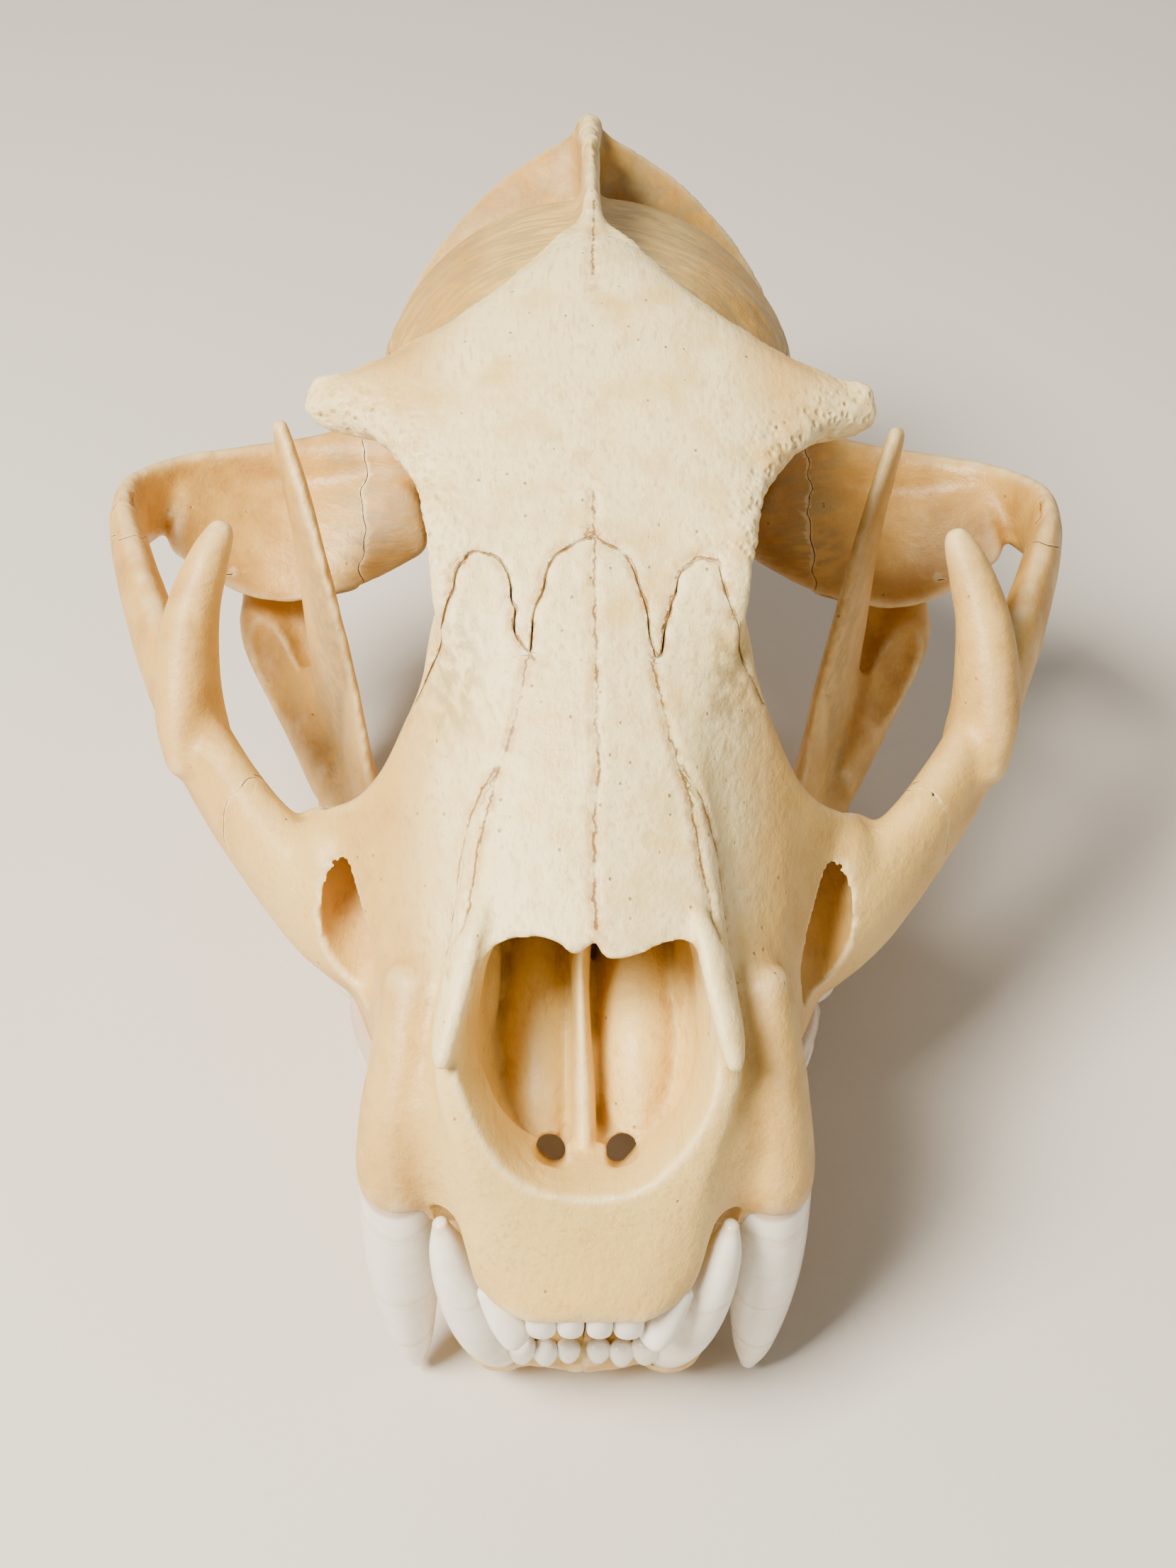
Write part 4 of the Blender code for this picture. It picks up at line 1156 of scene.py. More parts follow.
@dataclass
class Sutures:
    """Where the skull's bones meet: lines to stain and thin partings to cut."""

    width: float = 0.256
    fold_step: float = 0.8
    edge_step: float = 0.45
    panel_step: float = 0.7
    # The front parting's place below the drawn lines, and where it leaves the skull on the left.
    front_y: float = 60.5
    front_end: tuple = (46.0, 60.0)
    midline: Suture = Suture((
        (0.7, 26.4, 37.5), (0.5, 34, 42.9), (0.9, 44, 49), (0.4, 56, 56.2), (0.4, 69.6, 63.9), (0.2, 75, 66.8),
    ), 0.24)
    slit: Suture = Suture(((0.1, 110, 78), (0.0, 118, 78), (0.2, 126, 77.4), (0.2, 133, 77)), 0.1)
    nasal_top: Suture = Suture((
        (-0.4, 69.5, 63.9), (1.9, 68.3, 63.1), (4.5, 66.9, 62.2), (6.2, 63.8, 60.2), (7.1, 60.3, 57.8),
        (7.7, 56, 55.1),
    ), 0.3, True)
    nasal_side: Suture = Suture((
        (7.9, 55.5, 54.6), (9.1, 50, 51.2), (10.7, 45.6, 48.1), (12.4, 40.0, 44.0), (13.9, 34, 39.9),
        (14.9, 27, 35.6),
    ), 0.3, True)
    frontal_side: Suture = Suture((
        (7.8, 55.9, 55), (9.3, 58.2, 56.2), (9.8, 62, 58.7), (11.2, 65.8, 61.1), (13.6, 67.4, 61.9),
        (16.1, 67.3, 61.6), (17.6, 63, 58.2), (19.4, 60.4, 51.8), (22.4, 58.4, 46.4),
    ), 0.55, True)
    premaxilla: Suture = Suture((
        (11.4, 44.8, 47.2), (14.1, 41.0, 43.0), (15.8, 37.0, 38.4), (16.8, 31, 34.4), (18.4, 24.4, 29.0),
    ), 0.22, True)
    cheek_seam: Suture = Suture((
        (69.6, 124, 32.6), (72.8, 117, 30.5), (74.2, 110, 27.5), (72.6, 103, 23.0), (68, 97, 18.6),
    ), 0.3, True)
    temporal_seam: Suture = Suture((
        (20, 116, 69), (27.5, 122, 60), (32, 134, 50), (34, 148, 47), (32.5, 162, 45), (29, 176, 41), (24, 186, 37),
    ), 0.5, True)
    palate: Suture = Suture(((0, 6, 1.0), (0, 12, 3.0), (0, 30, 6.0), (0, 50, 7.0), (0, 66, 7.0)), 0.15)

    # Name, centre, width and height, and turn of each sheet across the cheek arches.
    panels: tuple = (
        ("cheek_front", (46, 65, 20), (34, 44), (0, 0, -42)), ("cheek_back", (70, 116, 27), (24, 60), (40, 0, 0)),
        ("temporal_root", (37, 141, 18), (50, 50), (0, 0, 90)),
    )

    def lines(self) -> list:
        """Every suture line of both sides, as runs of places."""
        single = (self.midline, self.palate, self.slit)
        made = [suture.run(Side.LEFT, 1 + number) for number, suture in enumerate(single)]
        paired = (self.nasal_top, self.nasal_side, self.frontal_side, self.premaxilla, self.cheek_seam,
                  self.temporal_seam)
        for number, suture in enumerate(paired):
            for side in Side:
                made.append(suture.run(side, 10 + 2 * number + (side is Side.LEFT)))
        return made

    def _across(self, edge: np.ndarray) -> np.ndarray:
        """Unit lengths across a run of (x, y) places, level with the floor."""
        ahead = unit(np.gradient(edge, axis=0))
        return np.column_stack((-ahead[:, 1], ahead[:, 0], np.zeros(len(edge))))

    def _curtain(self, name: str, rows: list) -> bpy.types.Object:
        """A thin sheet through level rows of places.

        Args:
            name: the object's name.
            rows: the rows from top to bottom, with as many places each.

        Returns:
            The object.
        """
        middle = np.array(rows)
        across = np.array([self._across(row[:, :2]) for row in middle])
        return plate(name, middle.transpose(1, 0, 2), across.transpose(1, 0, 2), self.width)

    def _folded(self, name: str, fold: tuple, half: float, seed: int) -> bpy.types.Object:
        """A sheet across the whole skull that follows a fold in y and z.

        Args:
            name: the object's name.
            fold: (y, z) places from its top to its bottom.
            half: half its width.
            seed: which jags.

        Returns:
            The object.
        """
        x = np.arange(-half, half + 0.1, self.fold_step)
        rows = []
        for y, z in smooth_between(fold, 24):
            at = np.column_stack((x, np.full(len(x), z), np.zeros(len(x))))
            rows.append(np.column_stack((x, y + 0.5 * swell(at, 2.2, seed), np.full(len(x), z))))
        return self._curtain(name, rows)

    def _front_edge(self) -> np.ndarray:
        """The drawn sutures between snout and forehead as (x, y) places from right to left."""
        left = np.vstack((self.nasal_top.run(Side.LEFT, 11), self.frontal_side.run(Side.LEFT, 15)))
        right = np.vstack((self.nasal_top.run(Side.RIGHT, 10), self.frontal_side.run(Side.RIGHT, 14)))
        edge = np.vstack((right[right[:, 0] < -0.3][::-1], left[left[:, 0] > 0.3]))[:, :2]
        for _ in range(6):
            edge[1:-1] = (edge[:-2] + 2 * edge[1:-1] + edge[2:]) / 4
        edge = evenly(edge, self.edge_step)[1]
        for _ in range(2):
            edge[1:-1] = (edge[:-2] + 2 * edge[1:-1] + edge[2:]) / 4
        right_end = (-self.front_end[0], self.front_end[1])
        return np.vstack((np.linspace(right_end, edge[0], 20)[:-1], edge,
                          np.linspace(edge[-1], self.front_end, 20)[1:]))

    def front_sheet(self) -> bpy.types.Object:
        """The parting between snout and forehead, along the drawn sutures where they show."""
        edge = self._front_edge()
        flat = np.column_stack((np.sort(edge[:, 0]) + 1e-4 * np.arange(len(edge)), np.full(len(edge), self.front_y)))
        rows = []
        fold = ((self.front_y, 88), (self.front_y, 52), (self.front_y, 36), (68.5, 22), (68.5, -16))
        for y, z in smooth_between(fold, 10):
            share = ease(np.array([z]), 36.0, 47.0)[0]
            row = edge * share + flat * (1 - share) + np.array((0.0, (y - self.front_y) * (1 - share)))
            rows.append(np.column_stack((row, np.full(len(row), z))))
        return self._curtain("front_suture", rows)

    def sheets(self) -> list:
        """Every parting of the cranium."""
        made = [
            self.front_sheet(),
            self._folded("back_suture", ((125, 92), (115, 32), (125.5, 14), (125.5, -12)), 35, 31),
            self._folded("occiput_suture", ((194, 90), (176, 26), (179, 14), (179, -20)), 45, 32),
        ]
        for side in Side:
            for number, row in enumerate(self.panels):
                made.append(self._panel(*row, side, 40 + 2 * number + (side is Side.LEFT)))
        return made

    def _panel(self, name: str, centre: tuple, sizes: tuple, turn: tuple, side: Side, seed: int) -> bpy.types.Object:
        """A jagged sheet across one limb of the cheek arch.

        Args:
            name: the object's name.
            centre: its centre.
            sizes: its width and height before it is turned.
            turn: angles about x, y and z, in degrees.
            side: which side.
            seed: which jags.

        Returns:
            The object.
        """
        spin = np.array(turned(turn, side.value).to_3x3())
        middle = []
        for up in np.arange(-sizes[1] / 2, sizes[1] / 2, self.panel_step):
            out = np.arange(-sizes[0] / 2, sizes[0] / 2, self.panel_step)
            flat = np.column_stack((out, np.zeros(len(out)), np.full(len(out), up)))
            flat[:, 1] = 0.8 * swell(flat, 2.0, seed) + 0.9 * swell(flat, 5.0, seed + 1)
            middle.append(flat @ spin.T + np.array(centre) * (side.value, 1, 1))
        middle = np.array(middle)
        across = np.broadcast_to(spin @ np.array((0.0, 1.0, 0.0)), middle.shape)
        return plate(name, middle, across, self.width * 0.7)


def add_node(tree: bpy.types.NodeTree, kind: str, settings: dict | None = None,
             inputs: dict | None = None) -> bpy.types.Node:
    """Adds a node, sets its properties and sets or links its inputs.

    Args:
        tree: the tree that it joins.
        kind: the node's type.
        settings: property names and values.
        inputs: input names or numbers, with a value or the output socket that feeds each.

    Returns:
        The node.
    """
    node = tree.nodes.new(kind)
    for name, value in (settings or {}).items():
        setattr(node, name, value)
    feed(tree, node, inputs or {})
    return node


def feed(tree: bpy.types.NodeTree, node: bpy.types.Node, inputs: dict) -> None:
    """Sets or links a node's inputs.

    Args:
        tree: the tree that it is in.
        node: the node.
        inputs: input names or numbers, with a value or the output socket that feeds each.
    """
    for key, value in inputs.items():
        if isinstance(value, bpy.types.NodeSocket):
            tree.links.new(value, node.inputs[key])
        else:
            node.inputs[key].default_value = value


def new_group(name: str, inputs: dict) -> tuple[bpy.types.NodeTree, bpy.types.Node]:
    """Starts a Geometry Nodes tree that takes and gives Geometry.

    Args:
        name: its name.
        inputs: its further inputs, with the kind of each.

    Returns:
        The tree and its entry.
    """
    tree = bpy.data.node_groups.new(name, "GeometryNodeTree")
    for socket, kind in {"Geometry": "Geometry", **inputs}.items():
        tree.interface.new_socket(socket, in_out="INPUT", socket_type=f"NodeSocket{kind}")
    tree.interface.new_socket("Geometry", in_out="OUTPUT", socket_type="NodeSocketGeometry")
    return tree, add_node(tree, "NodeGroupInput")


def new_material(name: str) -> tuple[bpy.types.Material, bpy.types.NodeTree, bpy.types.Node]:
    """Starts a material.

    Args:
        name: its name.

    Returns:
        The material, its tree and its shader.
    """
    made = bpy.data.materials.new(name)
    made.use_nodes = True
    return made, made.node_tree, made.node_tree.nodes["Principled BSDF"]


def colour(code: str) -> tuple[float, float, float, float]:
    """Turns an sRGB hex code into a linear colour.

    Args:
        code: six hex digits after a hash sign.

    Returns:
        Red, green, blue and full opacity.
    """
    shares = [int(code[i:i + 2], 16) / 255 for i in (1, 3, 5)]
    linear = [c / 12.92 if c <= 0.04045 else ((c + 0.055) / 1.055) ** 2.4 for c in shares]
    return (*linear, 1.0)


@dataclass
class SkinReader:
    """Geometry Nodes that store how shut in and how ridged each place of a surface is, which the finishes read to paint
    shade into hollows and creases and highlight onto ridges.
    """

    rays: int = 16
    # How far the rays reach and how far off the surface they start, in metres.
    reach: float = 0.016
    lift: float = 0.0009
    # Each ray is the surface's own direction plus a step of this length, so it always points outwards.
    step: float = 0.98
    hollow_blur: int = 3
    ridge_blur: int = 9

    def tree(self) -> bpy.types.NodeTree:
        """Builds the tree.

        Returns:
            A tree with the inputs Geometry, Around and Finish.
        """
        tree, entry = new_group("skin_reader", {"Around": "Object", "Finish": "Material"})
        around = add_node(tree, "GeometryNodeObjectInfo", {}, {"Object": entry.outputs["Around"]})
        here = add_node(tree, "GeometryNodeInputPosition").outputs[0]
        normal = add_node(tree, "GeometryNodeInputNormal").outputs[0]
        lifted = add_node(tree, "ShaderNodeVectorMath", {"operation": "MULTIPLY_ADD"},
                          {0: normal, 1: (self.lift,) * 3, 2: here}).outputs[0]
        total = None
        for number in range(self.rays):
            height = 1 - (2 * number + 1) / self.rays
            turn = number * math.pi * (3 - math.sqrt(5))
            level = math.sqrt(1 - height * height)
            way = (level * math.cos(turn) * self.step, level * math.sin(turn) * self.step, height * self.step)
            ray = add_node(tree, "ShaderNodeVectorMath", {"operation": "ADD"}, {0: normal, 1: way}).outputs[0]
            cast = add_node(tree, "GeometryNodeRaycast", {}, {
                "Target Geometry": around.outputs["Geometry"], "Source Position": lifted,
                "Ray Direction": ray, "Ray Length": self.reach})
            hit = cast.outputs["Is Hit"]
            if total is None:
                total = hit
            else:
                total = add_node(tree, "ShaderNodeMath", {"operation": "ADD"}, {0: total, 1: hit}).outputs[0]
        share = add_node(tree, "ShaderNodeMath", {"operation": "DIVIDE"}, {0: total, 1: float(self.rays)})
        even = add_node(tree, "GeometryNodeBlurAttribute", {"data_type": "FLOAT"},
                        {0: share.outputs[0], "Iterations": self.hollow_blur})
        soft = add_node(tree, "GeometryNodeBlurAttribute", {"data_type": "FLOAT_VECTOR"},
                        {0: here, "Iterations": self.ridge_blur})
        soft_place = [out for out in soft.outputs if out.type == "VECTOR"][0]
        off = add_node(tree, "ShaderNodeVectorMath", {"operation": "SUBTRACT"}, {0: here, 1: soft_place})
        proud = add_node(tree, "ShaderNodeVectorMath", {"operation": "DOT_PRODUCT"},
                         {0: off.outputs[0], 1: normal}).outputs["Value"]
        proud = add_node(tree, "ShaderNodeMath", {"operation": "DIVIDE"}, {0: proud, 1: MM}).outputs[0]
        even_value = [out for out in even.outputs if out.type == "VALUE" and out.enabled][0]
        stored = entry.outputs["Geometry"]
        # The share of rays that hit is read by the finishes as painted shade in hollows, with some stain; how proud
        # each place stands is read as painted highlight on ridges and painted shade in creases.
        for name, value in (("hollow", even_value), ("ridge", proud)):
            stored = add_node(tree, "GeometryNodeStoreNamedAttribute", {"data_type": "FLOAT", "domain": "POINT"},
                              {"Geometry": stored, "Name": name, "Value": value}).outputs[0]
        stored = add_node(tree, "GeometryNodeRealizeInstances", {}, {"Geometry": stored}).outputs[0]
        stored = add_node(tree, "GeometryNodeSetMaterial", {}, {
            "Geometry": stored, "Material": entry.outputs["Finish"]}).outputs[0]
        add_node(tree, "NodeGroupOutput", {}, {"Geometry": stored})
        return tree


def run_tree(thing: bpy.types.Object, tree: bpy.types.NodeTree, values: dict) -> bpy.types.Object:
    """Runs a Geometry Nodes tree on an object and keeps the result as its plain mesh.

    Args:
        thing: the object.
        tree: the tree.
        values: the tree's input names and what each is set to.

    Returns:
        The same object.
    """
    modifier = thing.modifiers.new(tree.name, "NODES")
    modifier.node_group = tree
    for item in tree.interface.items_tree:
        if item.in_out == "INPUT" and item.name in values:
            modifier[item.identifier] = values[item.name]
    return applied(thing)


class SeamField:
    """The suture lines as they lie on the bone, to be searched."""

    CELL = 3.0
    FAR = 8.0

    def __init__(self, places: np.ndarray, ways: np.ndarray) -> None:
        """Sorts the lines' places.

        Args:
            places: places along the lines, in skull millimetres.
            ways: the lines' directions there.
        """
        self.places = places
        self.ways = ways
        self.tree = KDTree(len(places))
        for number, place in enumerate(places):
            self.tree.insert(place, number)
        self.tree.balance()
        around = np.array(list(product((-1, 0, 1), repeat=3)))
        cells = np.floor(places / self.CELL)[:, None] + around
        self.cells = np.unique(self._key(cells.reshape(-1, 3)))

    def _key(self, cells: np.ndarray) -> np.ndarray:
        """One whole number for each cell."""
        return (cells + 500).astype(np.int64) @ np.array((1, 1000, 1000000))

    def read(self, places: np.ndarray, normals: np.ndarray) -> tuple[np.ndarray, np.ndarray]:
        """How far places are from the nearest line, and how far to its one side.

        Args:
            places: places in skull millimetres.
            normals: the surface's directions there.

        Returns:
            The distances, and the distances that are negative on one side of a line.
        """
        far = np.full(len(places), self.FAR)
        side = far.copy()
        near = np.flatnonzero(np.isin(self._key(np.floor(places / self.CELL)), self.cells))
        found = [self.tree.find(place)[1:] for place in places[near].tolist()]
        number = np.array([row[0] for row in found], dtype=int)
        far[near] = np.minimum([row[1] for row in found], self.FAR)
        off = places[near] - self.places[number]
        side[near] = (np.cross(self.ways[number], normals[near]) * off).sum(axis=1)
        return far, side


@dataclass
class BoneSkin:
    """The fine relief of dry bone and the values that its finish reads."""

    seams: SeamField
    brow: Rows = ((20.6, 70, 61.5), (22.6, 80, 65), (30, 90, 66.5), (37.0, 96.5, 64.5), (35, 101, 66))
    temple: Rows = ((36.4, 97.2, 67.9), (30, 100, 69.2), (21, 104.5, 71.6), (13, 112, 73.8), (5.4, 123, 75.4),
                    (1.7, 136, 76.6))
    crest: Rows = ((0, 134, 76.5), (0, 150, 75.2), (0, 166, 72.4), (0, 182, 67), (0, 196, 61.5), (0, 204, 58))
    chin_centre: tuple = (0.0, 8.0, -22.0)

    def _near(self, places: np.ndarray, path: Rows, radius: float, both: bool) -> np.ndarray:
        """How near places are to a path, from 0 to 1.

        Args:
            places: the places.
            path: the path's knots.
            radius: the distance at which the result has dropped to a third.
            both: whether the path is there on both sides.

        Returns:
            One value for each place.
        """
        at = places.copy()
        if both:
            at[:, 0] = np.abs(at[:, 0])
        nearest = np.full(len(at), 1e9)
        for point in smooth_run(path, 8):
            nearest = np.minimum(nearest, ((at - point) ** 2).sum(axis=1))
        return np.exp(-nearest / radius**2)

    def wall(self, places: np.ndarray) -> np.ndarray:
        """Where the chewing muscles lay, behind the lines that bound the forehead: from 0 to 1."""
        line = np.array(self.temple)[::-1]
        edge = np.interp(np.abs(places[:, 0]), line[:, 0], line[:, 1])
        return ease(places[:, 1] - edge, -0.3, 2.2)

    def fan(self, places: np.ndarray) -> np.ndarray:
        """Places in which the muscle's fan of streaks lies along the second axis."""
        back, up = places[:, 1] - FAN_START[0], places[:, 2] - FAN_START[1]
        return np.column_stack((np.arctan2(up, back) * FAN_RADIUS, np.hypot(up, back) * 0.09,
                                np.sign(places[:, 0]) * 40.0))

    def relief(self, data: bpy.types.Mesh) -> None:
        """Moves a mesh's vertices in and out as grown bone has it.

        Args:
            data: the mesh.
        """
        places, normals = places_of(data), normals_of(data)
        # Broad unevenness, the bubbly brow, and the knobbly back of the crest.
        rise = 0.20 * swell(places, 11.0, 3) + 0.07 * swell(places, 3.6, 4)
        brow = self._near(places, self.brow, 4.6, True)
        rise += brow * (0.42 * beads(places, 1.9, 5) - 0.14 + 0.25 * swell(places, 3.4, 6))
        crest = self._near(places, self.crest, 4.6, False)
        back = ease(places[:, 1], 136.0, 176.0)
        rise += crest * back * (1.1 * swell(places, 3.8, 7) + 0.8 * beads(places, 2.6, 8) - 0.3)
        # The muscle's streaks with the line that bounds them, the rough chin, and the sutures' raised edges.
        wall = (self.wall(places) * ease(places[:, 2], 22.0, 30.0) * ease(np.abs(places[:, 0]), 42.0, 36.0)
                * (1 - crest))
        rise += wall * (0.2 * swell(self.fan(places), 2.2, 9) + 0.5 * swell(self.fan(places), 6.5, 13))
        rise += 0.8 * self._near(places, self.temple, 1.4, True) * (0.8 + 0.4 * swell(places, 3.0, 10))
        chin = np.exp(-(((places - self.chin_centre) / (15.0, 7.0, 9.0)) ** 2).sum(axis=1))
        rise += chin * (0.8 * swell(places, 3.8, 11) + 0.45 * beads(places, 2.4, 12))
        seam = self.seams.read(places, normals)[0]
        rise += 0.09 * np.exp(-(((seam - 1.2) / 0.7) ** 2)) - 0.2 * np.exp(-((seam / 0.6) ** 2))
        put_places(data, places + normals * rise[:, None])

    def values(self, thing: bpy.types.Object, fibre: "Fibre") -> None:
        """Stores what the finish reads.

        Args:
            thing: the bone.
            fibre: how its grain runs.
        """
        places, normals = places_of(thing.data), normals_of(thing.data)
        x, y, z = np.abs(places[:, 0]), places[:, 1], places[:, 2]
        wall = self.wall(places)
        # Warmer out on the cheeks, on the snout's sides, low down and at the back: partly tan stain, and partly painted
        # shade on the sides and undersides and on the back of the skull; grey beside the nasal bones; chalky on the
        # forehead and paler on top, partly as painted light from above.
        warm = (0.75 * ease(x, 30.0, 62.0) + 0.45 * ease(z, 16.0, -4.0)
                + 0.55 * ease(x, 14.0, 21.0) * ease(x, 40.0, 30.0))
        warm += 0.5 * ease(y, 128.0, 150.0) * ease(z, 48.0, 26.0) + 0.3 * wall + 0.9 * ease(y, 184.0, 198.0)
        grey = np.exp(-(((x - 17.0) / 4.5) ** 2) - ((y - 57.0) / 8.0) ** 2) * ease(z, 34.0, 44.0)
        brow = self._near(places, self.brow, 7.0, True)
        chalk = ease(x, 28.0, 13.0) * ease(z, 20.0, 34.0) * (1 - wall) + 0.8 * brow
        seam, side = self.seams.read(places, normals)
        for name, value in {
            "seam": seam, "side": side, "warm": np.clip(warm, 0.0, 1.0), "chalk": np.clip(chalk, 0.0, 1.0),
            "wall": wall * ease(x, 46.0, 40.0) + grey, "pores": np.clip(0.3 * chalk + 0.1, 0.0, 1.0),
            "bubbly": self._near(places, self.brow, 5.0, True), "fibre": fibre.lay(places) * MM,
        }.items():
            put_values(thing.data, name, value)


class Fibre(Enum):
    """How a bone's grain runs."""

    ALONG = "along the snout and forehead"
    FAN = "spread like a fan over the braincase"
    ARCH = "round the cheek arch"

    @classmethod
    def of(cls, piece: str) -> "Fibre":
        """How the grain of a named bone runs."""
        kinds = {"braincase": cls.FAN, "occiput": cls.FAN, "cheekbone": cls.ARCH, "temporal": cls.ARCH}
        return kinds.get(piece.split("_")[0], cls.ALONG)

    def lay(self, places: np.ndarray) -> np.ndarray:
        """Places in which the grain lies along the second axis, drawn out tenfold.

        Args:
            places: places in skull millimetres.

        Returns:
            The changed places.
        """
        x, y, z = places.T
        if self is Fibre.FAN:
            back, up = y - FAN_START[0], z - FAN_START[1]
            return np.column_stack((np.arctan2(up, back) * FAN_RADIUS, np.hypot(up, back) * 0.1, x * 0.25))
        if self is Fibre.ARCH:
            return np.column_stack((z, (np.abs(x) + y) * 0.07, (np.abs(x) - y) * 0.3))
        return np.column_stack((x, y * 0.1, z))


@dataclass(frozen=True)
class Layer:
    """A colour laid over others, as thick as the product of its parts.

    Each part is a source's name, the value at which it starts, the value at which it is full,
    and how full that is.
    """

    over: str
    parts: tuple
    blend: str = "MIX"


def lay_over(tree: bpy.types.NodeTree, base: str, layers: tuple, sources: dict) -> bpy.types.NodeSocket:
    """Lays colours over a ground colour, one after another.

    Args:
        tree: the material's tree.
        base: the ground colour.
        layers: the colours with where they lie.
        sources: the output sockets that the layers name.

    Returns:
        The socket of the finished colour.
    """
    look = colour(base)
    for layer in layers:
        share = 1.0
        for source, start, full, most in layer.parts:
            part = add_node(tree, "ShaderNodeMapRange", {"interpolation_type": "SMOOTHSTEP"}, {
                0: sources[source], 1: start, 2: full, 3: 0.0, 4: most}).outputs[0]
            share = add_node(tree, "ShaderNodeMath", {"operation": "MULTIPLY"}, {0: part, 1: share}).outputs[0]
        look = add_node(tree, "ShaderNodeMix", {"data_type": "RGBA", "blend_type": layer.blend}, {
            0: share, 6: look, 7: colour(layer.over)}).outputs[2]
    return look


def pile_up(tree: bpy.types.NodeTree, weights: dict, sources: dict) -> bpy.types.NodeSocket:
    """Adds sources into one height.

    Args:
        tree: the material's tree.
        weights: how much of each source goes in, by its name.
        sources: the output sockets by name.

    Returns:
        The socket of the sum.
    """
    total = 0.0
    for source, weight in weights.items():
        total = add_node(tree, "ShaderNodeMath", {"operation": "MULTIPLY_ADD"}, {
            0: sources[source], 1: weight, 2: total}).outputs[0]
    return total


